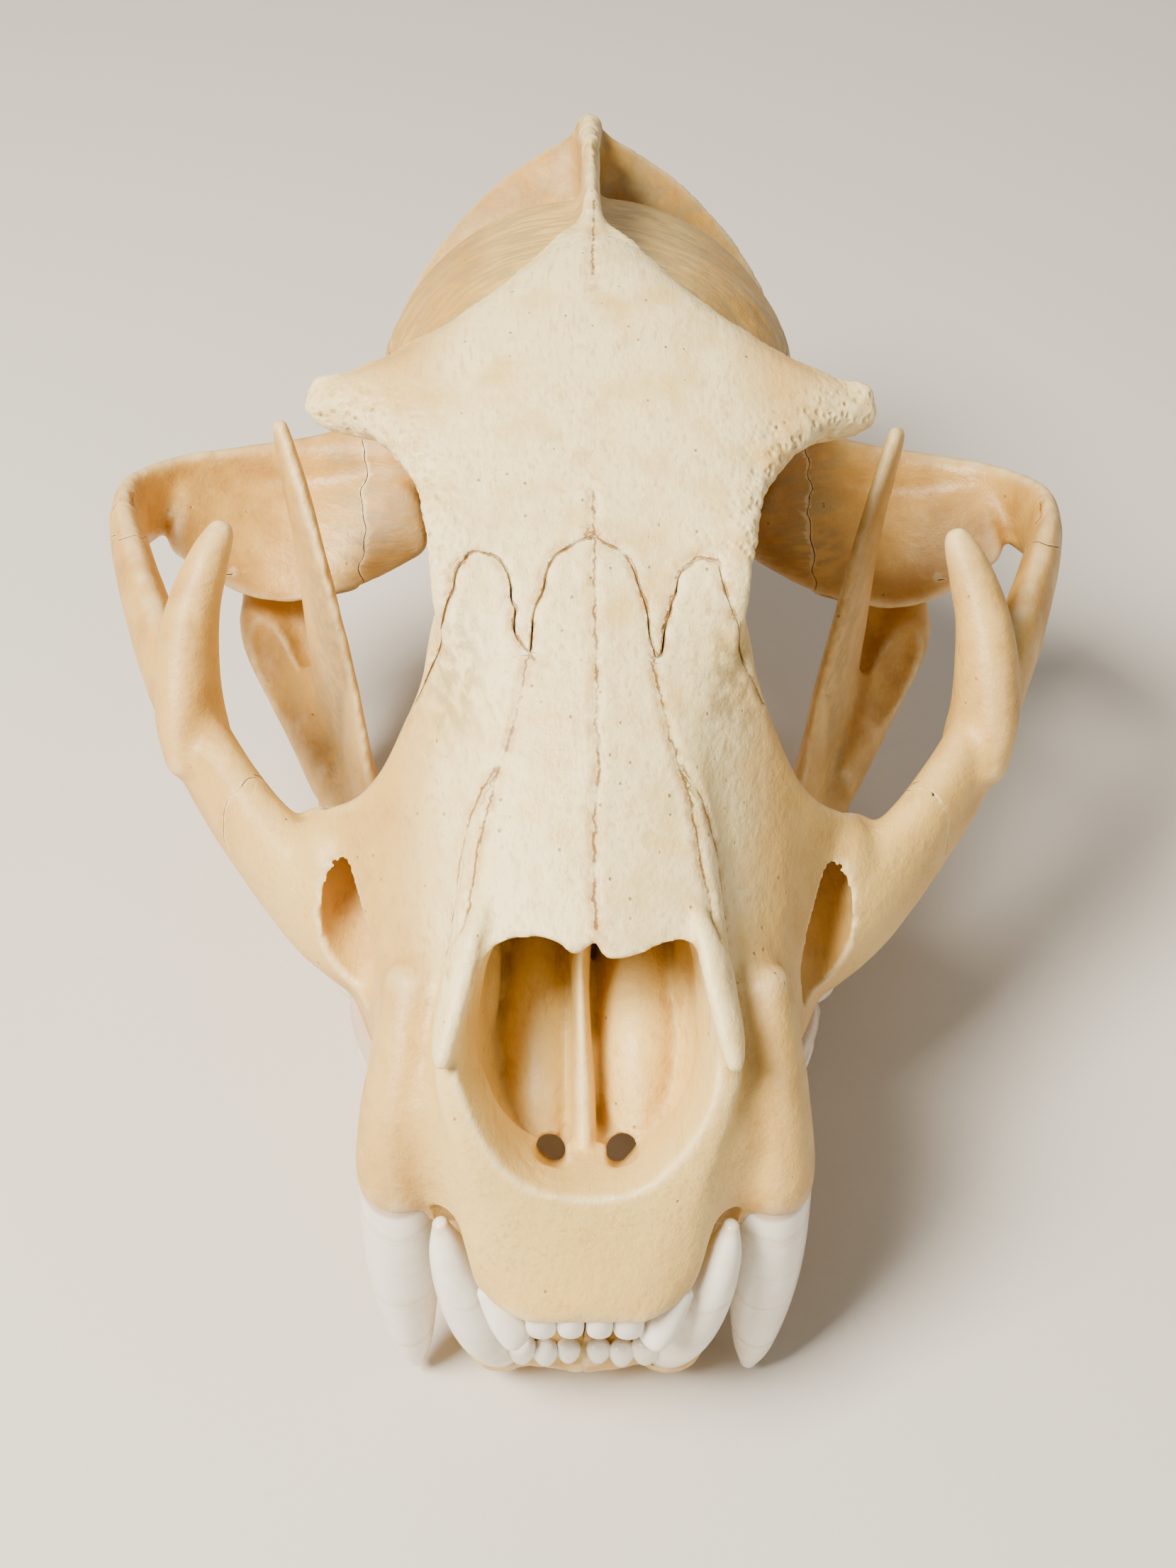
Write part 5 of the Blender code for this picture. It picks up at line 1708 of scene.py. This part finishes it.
@dataclass(frozen=True)
class BoneFinish:
    """Dry bone, cleaned and bleached: matte, a little glossy where handled, with pores and stains, painted shade in
    hollows, creases and pits, on the sides, undersides and back, and painted highlight on ridges and on top.
    """

    name: str
    ground: str = "#e7c776"
    roughness: float = 0.5
    pore_mm: float = 1.2
    # How far a drawn suture wanders to each side, in millimetres, and how many of the cells can hold a pore.
    wander: float = 0.4
    pore_share: float = 0.22
    # Name, size in millimetres, detail, and whether it is drawn out along the grain.
    noises: tuple = (
        ("broad", 26.0, 2.0, False), ("cloud", 7.0, 4.0, False), ("patch", 2.4, 3.0, False),
        ("jag", 0.8, 3.0, False), ("grain", 0.35, 2.0, False), ("fleck", 1.3, 2.0, False),
        ("streak", 1.5, 3.0, True), ("strand", 0.6, 2.0, True),
    )
    layers: tuple = (
        Layer("#dbb25e", (("broad", 0.35, 0.65, 0.5),)),
        # Warmer tone: partly tan stain, partly painted shade on the snout's sides, the undersides and the back of the
        # skull.
        Layer("#cd9a42", (("warm", 0.0, 1.0, 0.8),)),
        Layer("#a8772f", (("warm", 0.1, 1.0, 1.0), ("cloud", 0.34, 0.72, 0.7))),
        # Paler on top of the forehead and snout: partly chalky bone, partly painted light from above.
        Layer("#f8e7b0", (("chalk", 0.0, 1.0, 1.0), ("cloud", 0.2, 0.6, 0.85))),
        Layer("#a28c58", (("wall", 0.0, 1.0, 1.0), ("streak", 0.38, 0.64, 0.7))),
        Layer("#d0b46e", (("streak", 0.54, 0.74, 0.4),)),
        Layer("#c08c3a", (("strand", 0.5, 0.3, 0.4), ("cloud", 0.35, 0.6, 1.0))),
        # Painted shade in hollows, patchy, with some tan stain.
        Layer("#946a2e", (("hollow", 0.5, 1.0, 0.3), ("cloud", 0.3, 0.6, 1.0), ("patch", 0.3, 0.6, 1.0))),
        # Painted highlight on ridges and edges.
        Layer("#f8e8b8", (("ridge", 0.05, 0.3, 0.45),)),
        # Painted shade in creases.
        Layer("#b0863c", (("ridge", -0.05, -0.35, 0.45), ("cloud", 0.3, 0.6, 1.0))),
        Layer("#c48e2c", (("line", 1.9, 0.2, 0.5), ("patch", 0.42, 0.62, 1.0))),
        Layer("#6b4404", (("line", 0.24, 0.08, 0.8), ("seam", 1.1, 0.7, 1.0), ("patch", 0.3, 0.52, 1.0))),
        Layer("#8f5c22", (("pore", 0.0, 1.0, 0.6),)),
        # Painted shade in the brow's pits.
        Layer("#c9a262", (("bubble", 0.0, 1.0, 0.3),)),
        Layer("#ffffff", (("grain", 0.4, 0.7, 0.12),), "SOFT_LIGHT"),
    )
    heights: tuple = (("grain", 0.05), ("streak", 0.12), ("strand", 0.06), ("fleck", 0.10), ("patch", 0.14),
                      ("cloud", 0.3), ("pore", -0.16), ("bubble", -0.26))

    def sources(self, tree: bpy.types.NodeTree) -> dict:
        """Adds what the colours and heights are made of.

        Args:
            tree: the material's tree.

        Returns:
            Output sockets by name.
        """
        here = add_node(tree, "ShaderNodeTexCoord").outputs["Object"]
        fibre = add_node(tree, "ShaderNodeAttribute", {"attribute_name": "fibre"}).outputs["Vector"]
        found = {}
        for name in ("seam", "side", "warm", "chalk", "wall", "pores", "bubbly", "hollow", "ridge"):
            found[name] = add_node(tree, "ShaderNodeAttribute", {"attribute_name": name}).outputs["Fac"]
        for name, size, detail, along in self.noises:
            found[name] = add_node(tree, "ShaderNodeTexNoise", {}, {
                "Vector": fibre if along else here, "Scale": 1 / (size * MM), "Detail": detail,
                "Roughness": 0.55}).outputs["Fac"]
        jagged = add_node(tree, "ShaderNodeMath", {"operation": "MULTIPLY_ADD"}, {
            0: found["jag"], 1: 2 * self.wander, 2: -self.wander})
        offset = add_node(tree, "ShaderNodeMath", {"operation": "ADD"}, {0: found["side"], 1: jagged.outputs[0]})
        found["line"] = add_node(tree, "ShaderNodeMath", {"operation": "ABSOLUTE"}, {0: offset.outputs[0]}).outputs[0]
        cells = add_node(tree, "ShaderNodeTexVoronoi", {}, {"Vector": here, "Scale": 1 / (self.pore_mm * MM)})
        lot = add_node(tree, "ShaderNodeSeparateColor", {}, {0: cells.outputs["Color"]}).outputs[0]
        limit = add_node(tree, "ShaderNodeMath", {"operation": "MULTIPLY"}, {
            0: found["pores"], 1: self.pore_share}).outputs[0]
        chosen = add_node(tree, "ShaderNodeMath", {"operation": "LESS_THAN"}, {0: lot, 1: limit}).outputs[0]
        for name, wide, most in (("pore", 0.24, chosen), ("bubble", 0.55, found["bubbly"])):
            found[name] = add_node(tree, "ShaderNodeMapRange", {"interpolation_type": "SMOOTHSTEP"}, {
                0: cells.outputs["Distance"], 1: wide, 2: 0.08, 3: 0.0, 4: most}).outputs[0]
        return found

    def material(self) -> bpy.types.Material:
        """Builds the finish.

        Returns:
            The material.
        """
        made, tree, shader = new_material(self.name)
        found = self.sources(tree)
        rough = add_node(tree, "ShaderNodeMapRange", {}, {
            0: found["cloud"], 1: 0.3, 2: 0.7, 3: self.roughness - 0.08, 4: self.roughness + 0.1})
        height = pile_up(tree, dict(self.heights), found)
        bump = add_node(tree, "ShaderNodeBump", {}, {"Strength": 1.0, "Distance": MM, "Height": height})
        feed(tree, shader, {
            "Base Color": lay_over(tree, self.ground, self.layers, found), "Roughness": rough.outputs[0],
            "Normal": bump.outputs[0], "IOR": 1.54, "Subsurface Weight": 0.12,
            "Subsurface Radius": (1.0, 0.55, 0.3), "Subsurface Scale": 0.0012, "Coat Weight": 0.06,
            "Coat Roughness": 0.32})
        return made


@dataclass(frozen=True)
class EnamelFinish:
    """Tooth enamel: a hard glassy layer over warmer dentine, with faint growth bands and stains, and painted shade in
    hollows and at the gum.
    """

    name: str
    ground: str = "#efeade"
    roughness: float = 0.24
    band_mm: float = 3.2
    noises: tuple = (("wobble", 5.0, 2.0), ("patch", 2.2, 3.0), ("fine", 0.9, 3.0))
    layers: tuple = (
        Layer("#dccbaa", (("wobble", 0.45, 0.7, 0.35),)),
        Layer("#c9a875", (("band", 0.54, 0.7, 0.4),)),
        Layer("#fbf8f2", (("patch", 0.5, 0.75, 0.5),)),
        # Darker band at the gum: partly the neck's tint, partly painted shadow where the tooth leaves the bone.
        Layer("#a87c44", (("down", 0.9, 0.0, 0.6),)),
        # Painted shade in hollows.
        Layer("#d9c29a", (("hollow", 0.55, 0.95, 0.6),)),
    )

    def material(self) -> bpy.types.Material:
        """Builds the finish.

        Returns:
            The material.
        """
        made, tree, shader = new_material(self.name)
        here = add_node(tree, "ShaderNodeTexCoord").outputs["Object"]
        found = {name: add_node(tree, "ShaderNodeAttribute", {"attribute_name": name}).outputs["Fac"]
                 for name in ("down", "hollow")}
        for name, size, detail in self.noises:
            found[name] = add_node(tree, "ShaderNodeTexNoise", {}, {
                "Vector": here, "Scale": 1 / (size * MM), "Detail": detail}).outputs["Fac"]
        depth = add_node(tree, "ShaderNodeMath", {"operation": "MULTIPLY_ADD"}, {
            0: found["wobble"], 1: 2.4, 2: found["down"]}).outputs[0]
        bands = add_node(tree, "ShaderNodeCombineXYZ", {}, {"X": depth}).outputs[0]
        found["band"] = add_node(tree, "ShaderNodeTexNoise", {}, {
            "Vector": bands, "Scale": 1 / self.band_mm, "Detail": 2.0}).outputs["Fac"]
        height = pile_up(tree, {"band": 0.12, "fine": 1.0}, found)
        bump = add_node(tree, "ShaderNodeBump", {}, {"Strength": 0.35, "Distance": 0.05 * MM, "Height": height})
        rough = add_node(tree, "ShaderNodeMapRange", {}, {
            0: found["wobble"], 1: 0.3, 2: 0.7, 3: self.roughness - 0.06, 4: self.roughness + 0.1})
        feed(tree, shader, {
            "Base Color": lay_over(tree, self.ground, self.layers, found), "Roughness": rough.outputs[0],
            "Normal": bump.outputs[0], "IOR": 1.62, "Subsurface Weight": 0.2,
            "Subsurface Radius": (0.9, 0.7, 0.5), "Subsurface Scale": 0.0015})
        return made


@dataclass(frozen=True)
class Cusp:
    """One point of a cheek tooth: its place along the crown, how high it stands and its half length."""

    share: float
    height: float
    spread: float


@dataclass(frozen=True)
class Blade:
    """A cheek tooth: a low crown along the jaw with pointed cusps."""

    start: tuple[float, float, float]
    end: tuple[float, float, float]
    base: float
    thick: float
    cusps: tuple[Cusp, ...]

    def solids(self, side: Side) -> list:
        """The crown's pieces.

        Args:
            side: which side.

        Returns:
            The low crown and its cusps.
        """
        start, end = np.array(self.start, float), np.array(self.end, float)
        way = end - start
        length = float(np.linalg.norm(way[:2]))
        profile = ((0.04, 0.7), (0.35, 0.9), (0.7, 1.0), (0.96, 0.7))
        rows = tuple((*(start + way * t), self.thick * f, self.base) for t, f in profile)
        made = [sweep("crown", rows, UP, side.value)]
        for cusp in self.cusps:
            foot = start + way * cusp.share
            rows = tuple((*(foot + np.array((0, 0, cusp.height * t))), self.thick * f, cusp.spread * length * f)
                         for t, f in ((0, 1.0), (0.5, 0.78), (1.0, 0.16)))
            made.append(sweep("cusp", rows, BACK, side.value))
        return made


@dataclass
class CheekTeeth:
    """The row of premolars and molar of one half jaw."""

    piece: str
    blades: tuple[Blade, ...]
    gumline: float
    down: float

    def build(self, side: Side, voxel: float) -> bpy.types.Object:
        """The row of crowns as one body each, in one piece.

        Args:
            side: which side.
            voxel: the skin's spacing, in millimetres.

        Returns:
            The piece.
        """
        crowns = []
        for blade in self.blades:
            solids = blade.solids(side)
            clay = Clay(solids[0])
            clay.join(solids[1:])
            clay.soften(voxel, 6)
            crowns.append(clay.thing)
        row = joined(f"{self.piece}_{side.word}", crowns)
        depth = (places_of(row.data)[:, 2] - self.gumline) * self.down
        put_values(row.data, "down", depth)
        return row


UPPER_CHEEK_TEETH = CheekTeeth("upper_cheek_teeth", (
    Blade((25.6, 29.5, -0.5), (25.9, 33.5, -0.5), 2.0, 1.6, (Cusp(0.5, -2.6, 0.4),)),
    Blade((27.4, 36, -1), (31, 49.5, -1), 3.2, 2.7, (Cusp(0.42, -9.2, 0.24), Cusp(0.82, -5.2, 0.14))),
    Blade((32.4, 51, -1.2), (37.4, 74, -1.2), 3.4, 3.1,
          (Cusp(0.12, -6.2, 0.11), Cusp(0.42, -11.4, 0.17), Cusp(0.78, -8.4, 0.18))),
    Blade((30.6, 74.6, -0.2), (35.4, 75.6, -0.2), 1.8, 1.7, (Cusp(0.5, -2.4, 0.3),)),
), -0.5, -1.0)
LOWER_CHEEK_TEETH = CheekTeeth("lower_cheek_teeth", (
    Blade((21.4, 36, -11.6), (24.2, 47.5, -11.6), 2.8, 2.3, (Cusp(0.45, 7.6, 0.24),)),
    Blade((25, 49, -11.6), (27.6, 63.5, -11.6), 3.0, 2.4, (Cusp(0.48, 9.2, 0.2), Cusp(0.85, 4.6, 0.12))),
    Blade((28, 65, -11.6), (30.4, 82, -11.6), 3.0, 2.3, (Cusp(0.27, 9.0, 0.2), Cusp(0.74, 9.4, 0.2))),
), -12.5, 1.0)


@dataclass(frozen=True)
class Incisor:
    """One small front tooth: where it leaves the bone, its tip, its half width and half depth."""

    foot: tuple[float, float, float]
    tip: tuple[float, float, float]
    half: float
    deep: float


@dataclass
class IncisorRow:
    """The row of small front teeth, each set in its socket by Geometry Nodes."""

    piece: str
    teeth: tuple[Incisor, ...]
    # Place along the crown, half width and half depth, as shares of the tooth's own.
    crown: Rows = ((0, 0, -0.3, 0.6, 0.72), (0, 0, 0, 0.8, 0.94), (0, 0, 0.35, 0.98, 1.0), (0, 0, 0.65, 1.0, 0.88),
                   (0, 0, 0.86, 0.9, 0.66), (0, 0, 0.96, 0.66, 0.42))

    def _crown(self) -> bpy.types.Object:
        """One crown that stands on the world's origin, as high as its half width."""
        crown = sweep("incisor", self.crown, BACK, sides=24, ends=(0.3, 0.1))
        crown.data.vertices.foreach_set("co", (places_of(crown.data) * MM).ravel())
        crown.data.update()
        return crown

    def tree(self) -> bpy.types.NodeTree:
        """Sets a crown on each point, turned and sized by the point's own values.

        Returns:
            A tree with the inputs Geometry, Crown and Finish.
        """
        tree, entry = new_group("incisor_row", {"Crown": "Object", "Finish": "Material"})
        tooth = add_node(tree, "GeometryNodeObjectInfo", {}, {"Object": entry.outputs["Crown"]})
        named = {}
        for name in ("size", "turn"):
            reader = add_node(tree, "GeometryNodeInputNamedAttribute", {"data_type": "FLOAT_VECTOR"}, {"Name": name})
            named[name] = [out for out in reader.outputs if out.type == "VECTOR"][0]
        points = add_node(tree, "GeometryNodeMeshToPoints", {}, {"Mesh": entry.outputs["Geometry"]})
        spin = add_node(tree, "FunctionNodeEulerToRotation", {}, {0: named["turn"]})
        placed = add_node(tree, "GeometryNodeInstanceOnPoints", {}, {
            "Points": points.outputs[0], "Instance": tooth.outputs["Geometry"], "Scale": named["size"],
            "Rotation": spin.outputs[0]})
        real = add_node(tree, "GeometryNodeRealizeInstances", {}, {0: placed.outputs[0]})
        done = add_node(tree, "GeometryNodeSetMaterial", {}, {
            "Geometry": real.outputs[0], "Material": entry.outputs["Finish"]})
        add_node(tree, "NodeGroupOutput", {}, {0: done.outputs[0]})
        return tree

    def build(self, finish: bpy.types.Material) -> bpy.types.Object:
        """The row of six.

        Args:
            finish: its material.

        Returns:
            The piece.
        """
        crown = self._crown()
        spots, sizes, turns = [], [], []
        for side in Side:
            for tooth in self.teeth:
                foot, tip = (Vector((place[0] * side.value, *place[1:])) for place in (tooth.foot, tooth.tip))
                spots.append(foot)
                sizes.append((tooth.half, tooth.deep, (tip - foot).length))
                turns.append((tip - foot).to_track_quat("Z", "Y").to_euler())
        data = bpy.data.meshes.new(self.piece)
        data.from_pydata(seat(np.array(spots)).tolist(), [], [])
        put_values(data, "size", np.array(sizes))
        put_values(data, "turn", np.array(turns))
        row = linked(self.piece, data)
        run_tree(row, self.tree(), {"Crown": crown, "Finish": finish})
        bpy.data.objects.remove(crown)
        # As far from the gum as the part of a crown past the darker band is; that band at the gum is partly the neck's
        # tint and partly painted shadow.
        put_values(row.data, "down", np.full(len(row.data.vertices), 2.0))
        return row


UPPER_INCISORS = IncisorRow("upper_incisors", (
    Incisor((1.75, -1.2, 0.8), (1.75, -2.0, -4.0), 1.66, 1.5), Incisor((5.3, -0.6, 0.6), (5.35, -1.5, -4.9), 1.95, 1.7),
    Incisor((10.9, 0.9, -1.7), (7.7, -1.6, -6.6), 2.25, 2.1),
))
LOWER_INCISORS = IncisorRow("lower_incisors", (
    Incisor((1.9, 5.0, -20.0), (2.0, 3.2, -15.4), 1.6, 1.6), Incisor((4.9, 4.8, -20.2), (5.0, 2.8, -15.0), 1.7, 1.7),
    Incisor((8.0, 4.8, -19.4), (8.0, 2.2, -13.0), 1.9, 1.9),
))


@dataclass
class Studio:
    """The camera at the photo's angle, the pale floor and soft light."""

    eye: tuple = (-2.7, -122.86, 202.86)
    pitch: float = 43.38
    yaw: float = 0.84
    roll: float = 1.11
    lens: float = 43.28
    floor_size: float = 6.0

    def camera(self) -> None:
        """Sets the camera."""
        data = bpy.data.cameras.new("camera")
        data.lens, data.sensor_width, data.sensor_fit = self.lens, 36.0, "AUTO"
        data.clip_start, data.clip_end = 0.01, 20.0
        thing = linked("camera", data)
        pitch, yaw, roll = (math.radians(angle) for angle in (self.pitch, self.yaw, self.roll))
        ahead = Vector((math.sin(yaw) * math.cos(pitch), math.cos(yaw) * math.cos(pitch), -math.sin(pitch)))
        level = Vector((math.cos(yaw), -math.sin(yaw), 0))
        above = level.cross(ahead)
        right = level * math.cos(roll) + above * math.sin(roll)
        top = above * math.cos(roll) - level * math.sin(roll)
        turn = Matrix((right, top, -ahead)).transposed()
        thing.matrix_world = Matrix.Translation(Vector(seat(self.eye))) @ turn.to_4x4()
        bpy.context.scene.camera = thing

    def lamp(self, name: str, place: tuple, size: float, watts: float, warmth: str) -> None:
        """Adds a soft square lamp aimed at the skull.

        Args:
            name: its name.
            place: its place, in metres.
            size: its width, in metres.
            watts: its power.
            warmth: its colour.
        """
        data = bpy.data.lights.new(name, "AREA")
        data.size, data.energy = size, watts
        data.color = colour(warmth)[:3]
        thing = linked(name, data)
        thing.location = place
        aim = Vector((0, 0, 0.06)) - Vector(place)
        thing.rotation_euler = aim.to_track_quat("-Z", "Y").to_euler()

    def light(self) -> None:
        """Adds the lamps and the even light from all round."""
        self.lamp("key", (-0.46, -0.34, 0.74), 0.36, 27.0, "#fff5e4")
        self.lamp("fill", (0.75, -0.55, 0.50), 0.9, 1.8, "#fff4e4")
        self.lamp("back", (0.1, 0.9, 0.7), 0.8, 3.0, "#fff4e6")
        world = bpy.data.worlds.new("studio")
        bpy.context.scene.world = world
        world.use_nodes = True
        sky = world.node_tree.nodes["Background"]
        sky.inputs["Color"].default_value = colour("#f4efe6")
        sky.inputs["Strength"].default_value = 0.2

    def floor(self) -> None:
        """Adds the pale floor."""
        made, tree, shader = new_material("matt_board")
        here = add_node(tree, "ShaderNodeTexCoord").outputs["Object"]
        tooth = add_node(tree, "ShaderNodeTexNoise", {}, {"Vector": here, "Scale": 900.0, "Detail": 2.0})
        look = add_node(tree, "ShaderNodeMix", {"data_type": "RGBA"}, {
            0: tooth.outputs["Fac"], 6: colour("#d3cfc8"), 7: colour("#d8d4cd")})
        feed(tree, shader, {"Base Color": look.outputs[2], "Roughness": 0.6})
        half = self.floor_size / 2
        data = bpy.data.meshes.new("floor")
        data.from_pydata([(-half, -half, 0), (half, -half, 0), (half, half, 0), (-half, half, 0)], [], [(0, 1, 2, 3)])
        data.materials.append(made)
        linked("floor", data)


@dataclass
class Skull:
    """The whole skull: shapes, parts, dresses and declares every piece."""

    cranium: Cranium = field(default_factory=Cranium)
    jaw: Jaw = field(default_factory=Jaw)
    sutures: Sutures = field(default_factory=Sutures)
    voxel: float = 0.55
    jaw_share: float = 0.9
    quick_voxel: float = 0.9
    tooth_voxel: float = 0.3
    # A suture is drawn where it is no further than this from the bone, in millimetres.
    seam_reach: float = 4.0
    # A closed surface with fewer points than this is a crumb.
    least_points: int = 400
    most_triangles: int = 190000
    sharp_degrees: float = 62.0
    bone_places: tuple = (
        ("snout", (0, 30, 18)), ("forehead", (0, 92, 48)), ("braincase", (0, 148, 40)), ("occiput", (0, 192, 30)),
        ("cheekbone_left", (57, 88, 26)), ("cheekbone_right", (-57, 88, 26)),
        ("temporal_left", (60, 136, 20)), ("temporal_right", (-60, 136, 20)),
    )

    def seam_field(self, bone: bpy.types.Object) -> SeamField:
        """Lays the suture lines on a bone's surface.

        Args:
            bone: the whole cranium.

        Returns:
            The lines' places, to be searched.
        """
        surface = BVHTree.FromObject(bone, bpy.context.evaluated_depsgraph_get())
        places, ways = [], []
        for line in self.sutures.lines():
            laid = []
            for place in seat(line).tolist():
                hit = surface.find_nearest(place)[0]
                if (Vector(place) - hit).length < self.seam_reach * MM:
                    laid.append(unseat(hit))
            if len(laid) > 2:
                laid = np.array(laid)
                ahead = np.gradient(laid, axis=0)
                ahead[1:-1] = (ahead[:-2] + ahead[1:-1] + ahead[2:]) / 3
                places.append(laid)
                ways.append(ahead / np.maximum(np.linalg.norm(ahead, axis=1), 1e-9)[:, None])
        return SeamField(np.vstack(places), np.vstack(ways))

    def part(self, whole: bpy.types.Object) -> dict:
        """Cuts the cranium into its bones.

        Args:
            whole: the cranium.

        Returns:
            Each bone by its node's name.
        """
        clay = Clay(whole)
        clay.cut(self.cranium.sockets() + self.sutures.sheets())
        data = clay.thing.data
        labels = shells_of(data)
        places = places_of(data)
        bones = {}
        for label, count in zip(*np.unique(labels, return_counts=True)):
            if count < self.least_points:
                continue
            keep = labels == label
            middle = places[keep].mean(axis=0)
            name = min(self.bone_places, key=lambda row: np.linalg.norm(np.array(row[1]) - middle))[0]
            if name not in bones or count > bones[name][1]:
                bones[name] = (keep, int(count))
        made = {name: linked(name + "_bone", shell_mesh(data, keep, name)) for name, (keep, count) in bones.items()}
        bpy.data.objects.remove(clay.thing)
        for name, _ in self.bone_places:
            if name not in made:
                LOG.warning("%s isn't parted from its neighbours", name)
        return made

    def thin(self, thing: bpy.types.Object) -> None:
        """Keeps a piece under its number of triangles."""
        now = triangles_of(thing.data)
        if now > self.most_triangles:
            thin = thing.modifiers.new("thin", "DECIMATE")
            thin.ratio = self.most_triangles / now
            applied(thing)

    def dress(self, thing: bpy.types.Object, nodes: list) -> None:
        """Shades a piece smooth, and declares what it rides on and stands for.

        Args:
            thing: the piece.
            nodes: the nodes that it stands for.
        """
        thing.data.shade_smooth()
        thing.data.set_sharp_from_angle(angle=math.radians(self.sharp_degrees))
        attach(thing, "root")
        if nodes:
            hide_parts(*nodes)
        LOG.info("%s: %d triangles", thing.name, triangles_of(thing.data))

    def build(self) -> None:
        """Makes every piece of the skull."""
        voxel = self.voxel
        finishes = {
            "bone_pale": BoneFinish("bleached_bone").material(),
            "bone_warm": BoneFinish("dry_bone", roughness=0.52).material(),
            "bone_tan": BoneFinish("stained_bone", roughness=0.46).material(),
            "enamel": EnamelFinish("tooth_enamel").material(),
        }
        slots = {row["node"]: row["material_slot"] for row in frame["record"]["subparts"]}
        whole = self.cranium.shape(voxel)
        LOG.info("cranium shaped")
        skin = BoneSkin(self.seam_field(whole))
        skin.relief(whole.data)
        LOG.info("relief done")
        jaws = {f"jaw_{side.word}": self.jaw.body(side, voxel * self.jaw_share) for side in Side}
        for name, thing in jaws.items():
            thing.name = name + "_bone"
            skin.relief(thing.data)
        shade = joined("shade", [whole.copy()] + [thing.copy() for thing in jaws.values()])
        bpy.context.scene.collection.objects.unlink(shade)
        bones = self.part(whole)
        bones.update(jaws)
        LOG.info("parted")
        reader = SkinReader()
        tree = reader.tree()
        for name, thing in bones.items():
            self.thin(thing)
            finish = finishes[slots[name]]
            run_tree(thing, tree, {"Around": shade, "Finish": finish})
            skin.values(thing, Fibre.of(name))
            self.dress(thing, [name])
        bpy.data.objects.remove(shade)
        self.teeth(finishes["enamel"])

    def teeth(self, enamel: bpy.types.Material) -> None:
        """Makes the teeth.

        Args:
            enamel: their material.
        """
        for tooth, sense in ((UPPER_CANINE, -1.0), (LOWER_CANINE, 1.0)):
            for side in Side:
                node = f"{tooth.piece}_{side.word}"
                thing = tooth.body(node + "_tooth", side, sides=64)
                thing.data.materials.append(enamel)
                put_values(thing.data, "down", (places_of(thing.data)[:, 2] - tooth.crown_start) * sense)
                self.dress(thing, [node])
        for row in (UPPER_CHEEK_TEETH, LOWER_CHEEK_TEETH):
            for side in Side:
                thing = row.build(side, self.tooth_voxel)
                thing.data.materials.append(enamel)
                self.dress(thing, [])
        for row in (UPPER_INCISORS, LOWER_INCISORS):
            self.dress(row.build(enamel), [])


def main() -> None:
    """Builds the skull, the camera, the floor and the light."""
    logging.basicConfig(level=logging.INFO, format="%(relativeCreated)7d %(message)s")
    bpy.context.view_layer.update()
    studio = Studio()
    studio.camera()
    studio.floor()
    studio.light()
    Skull().build()


if __name__ == "__main__":
    main()
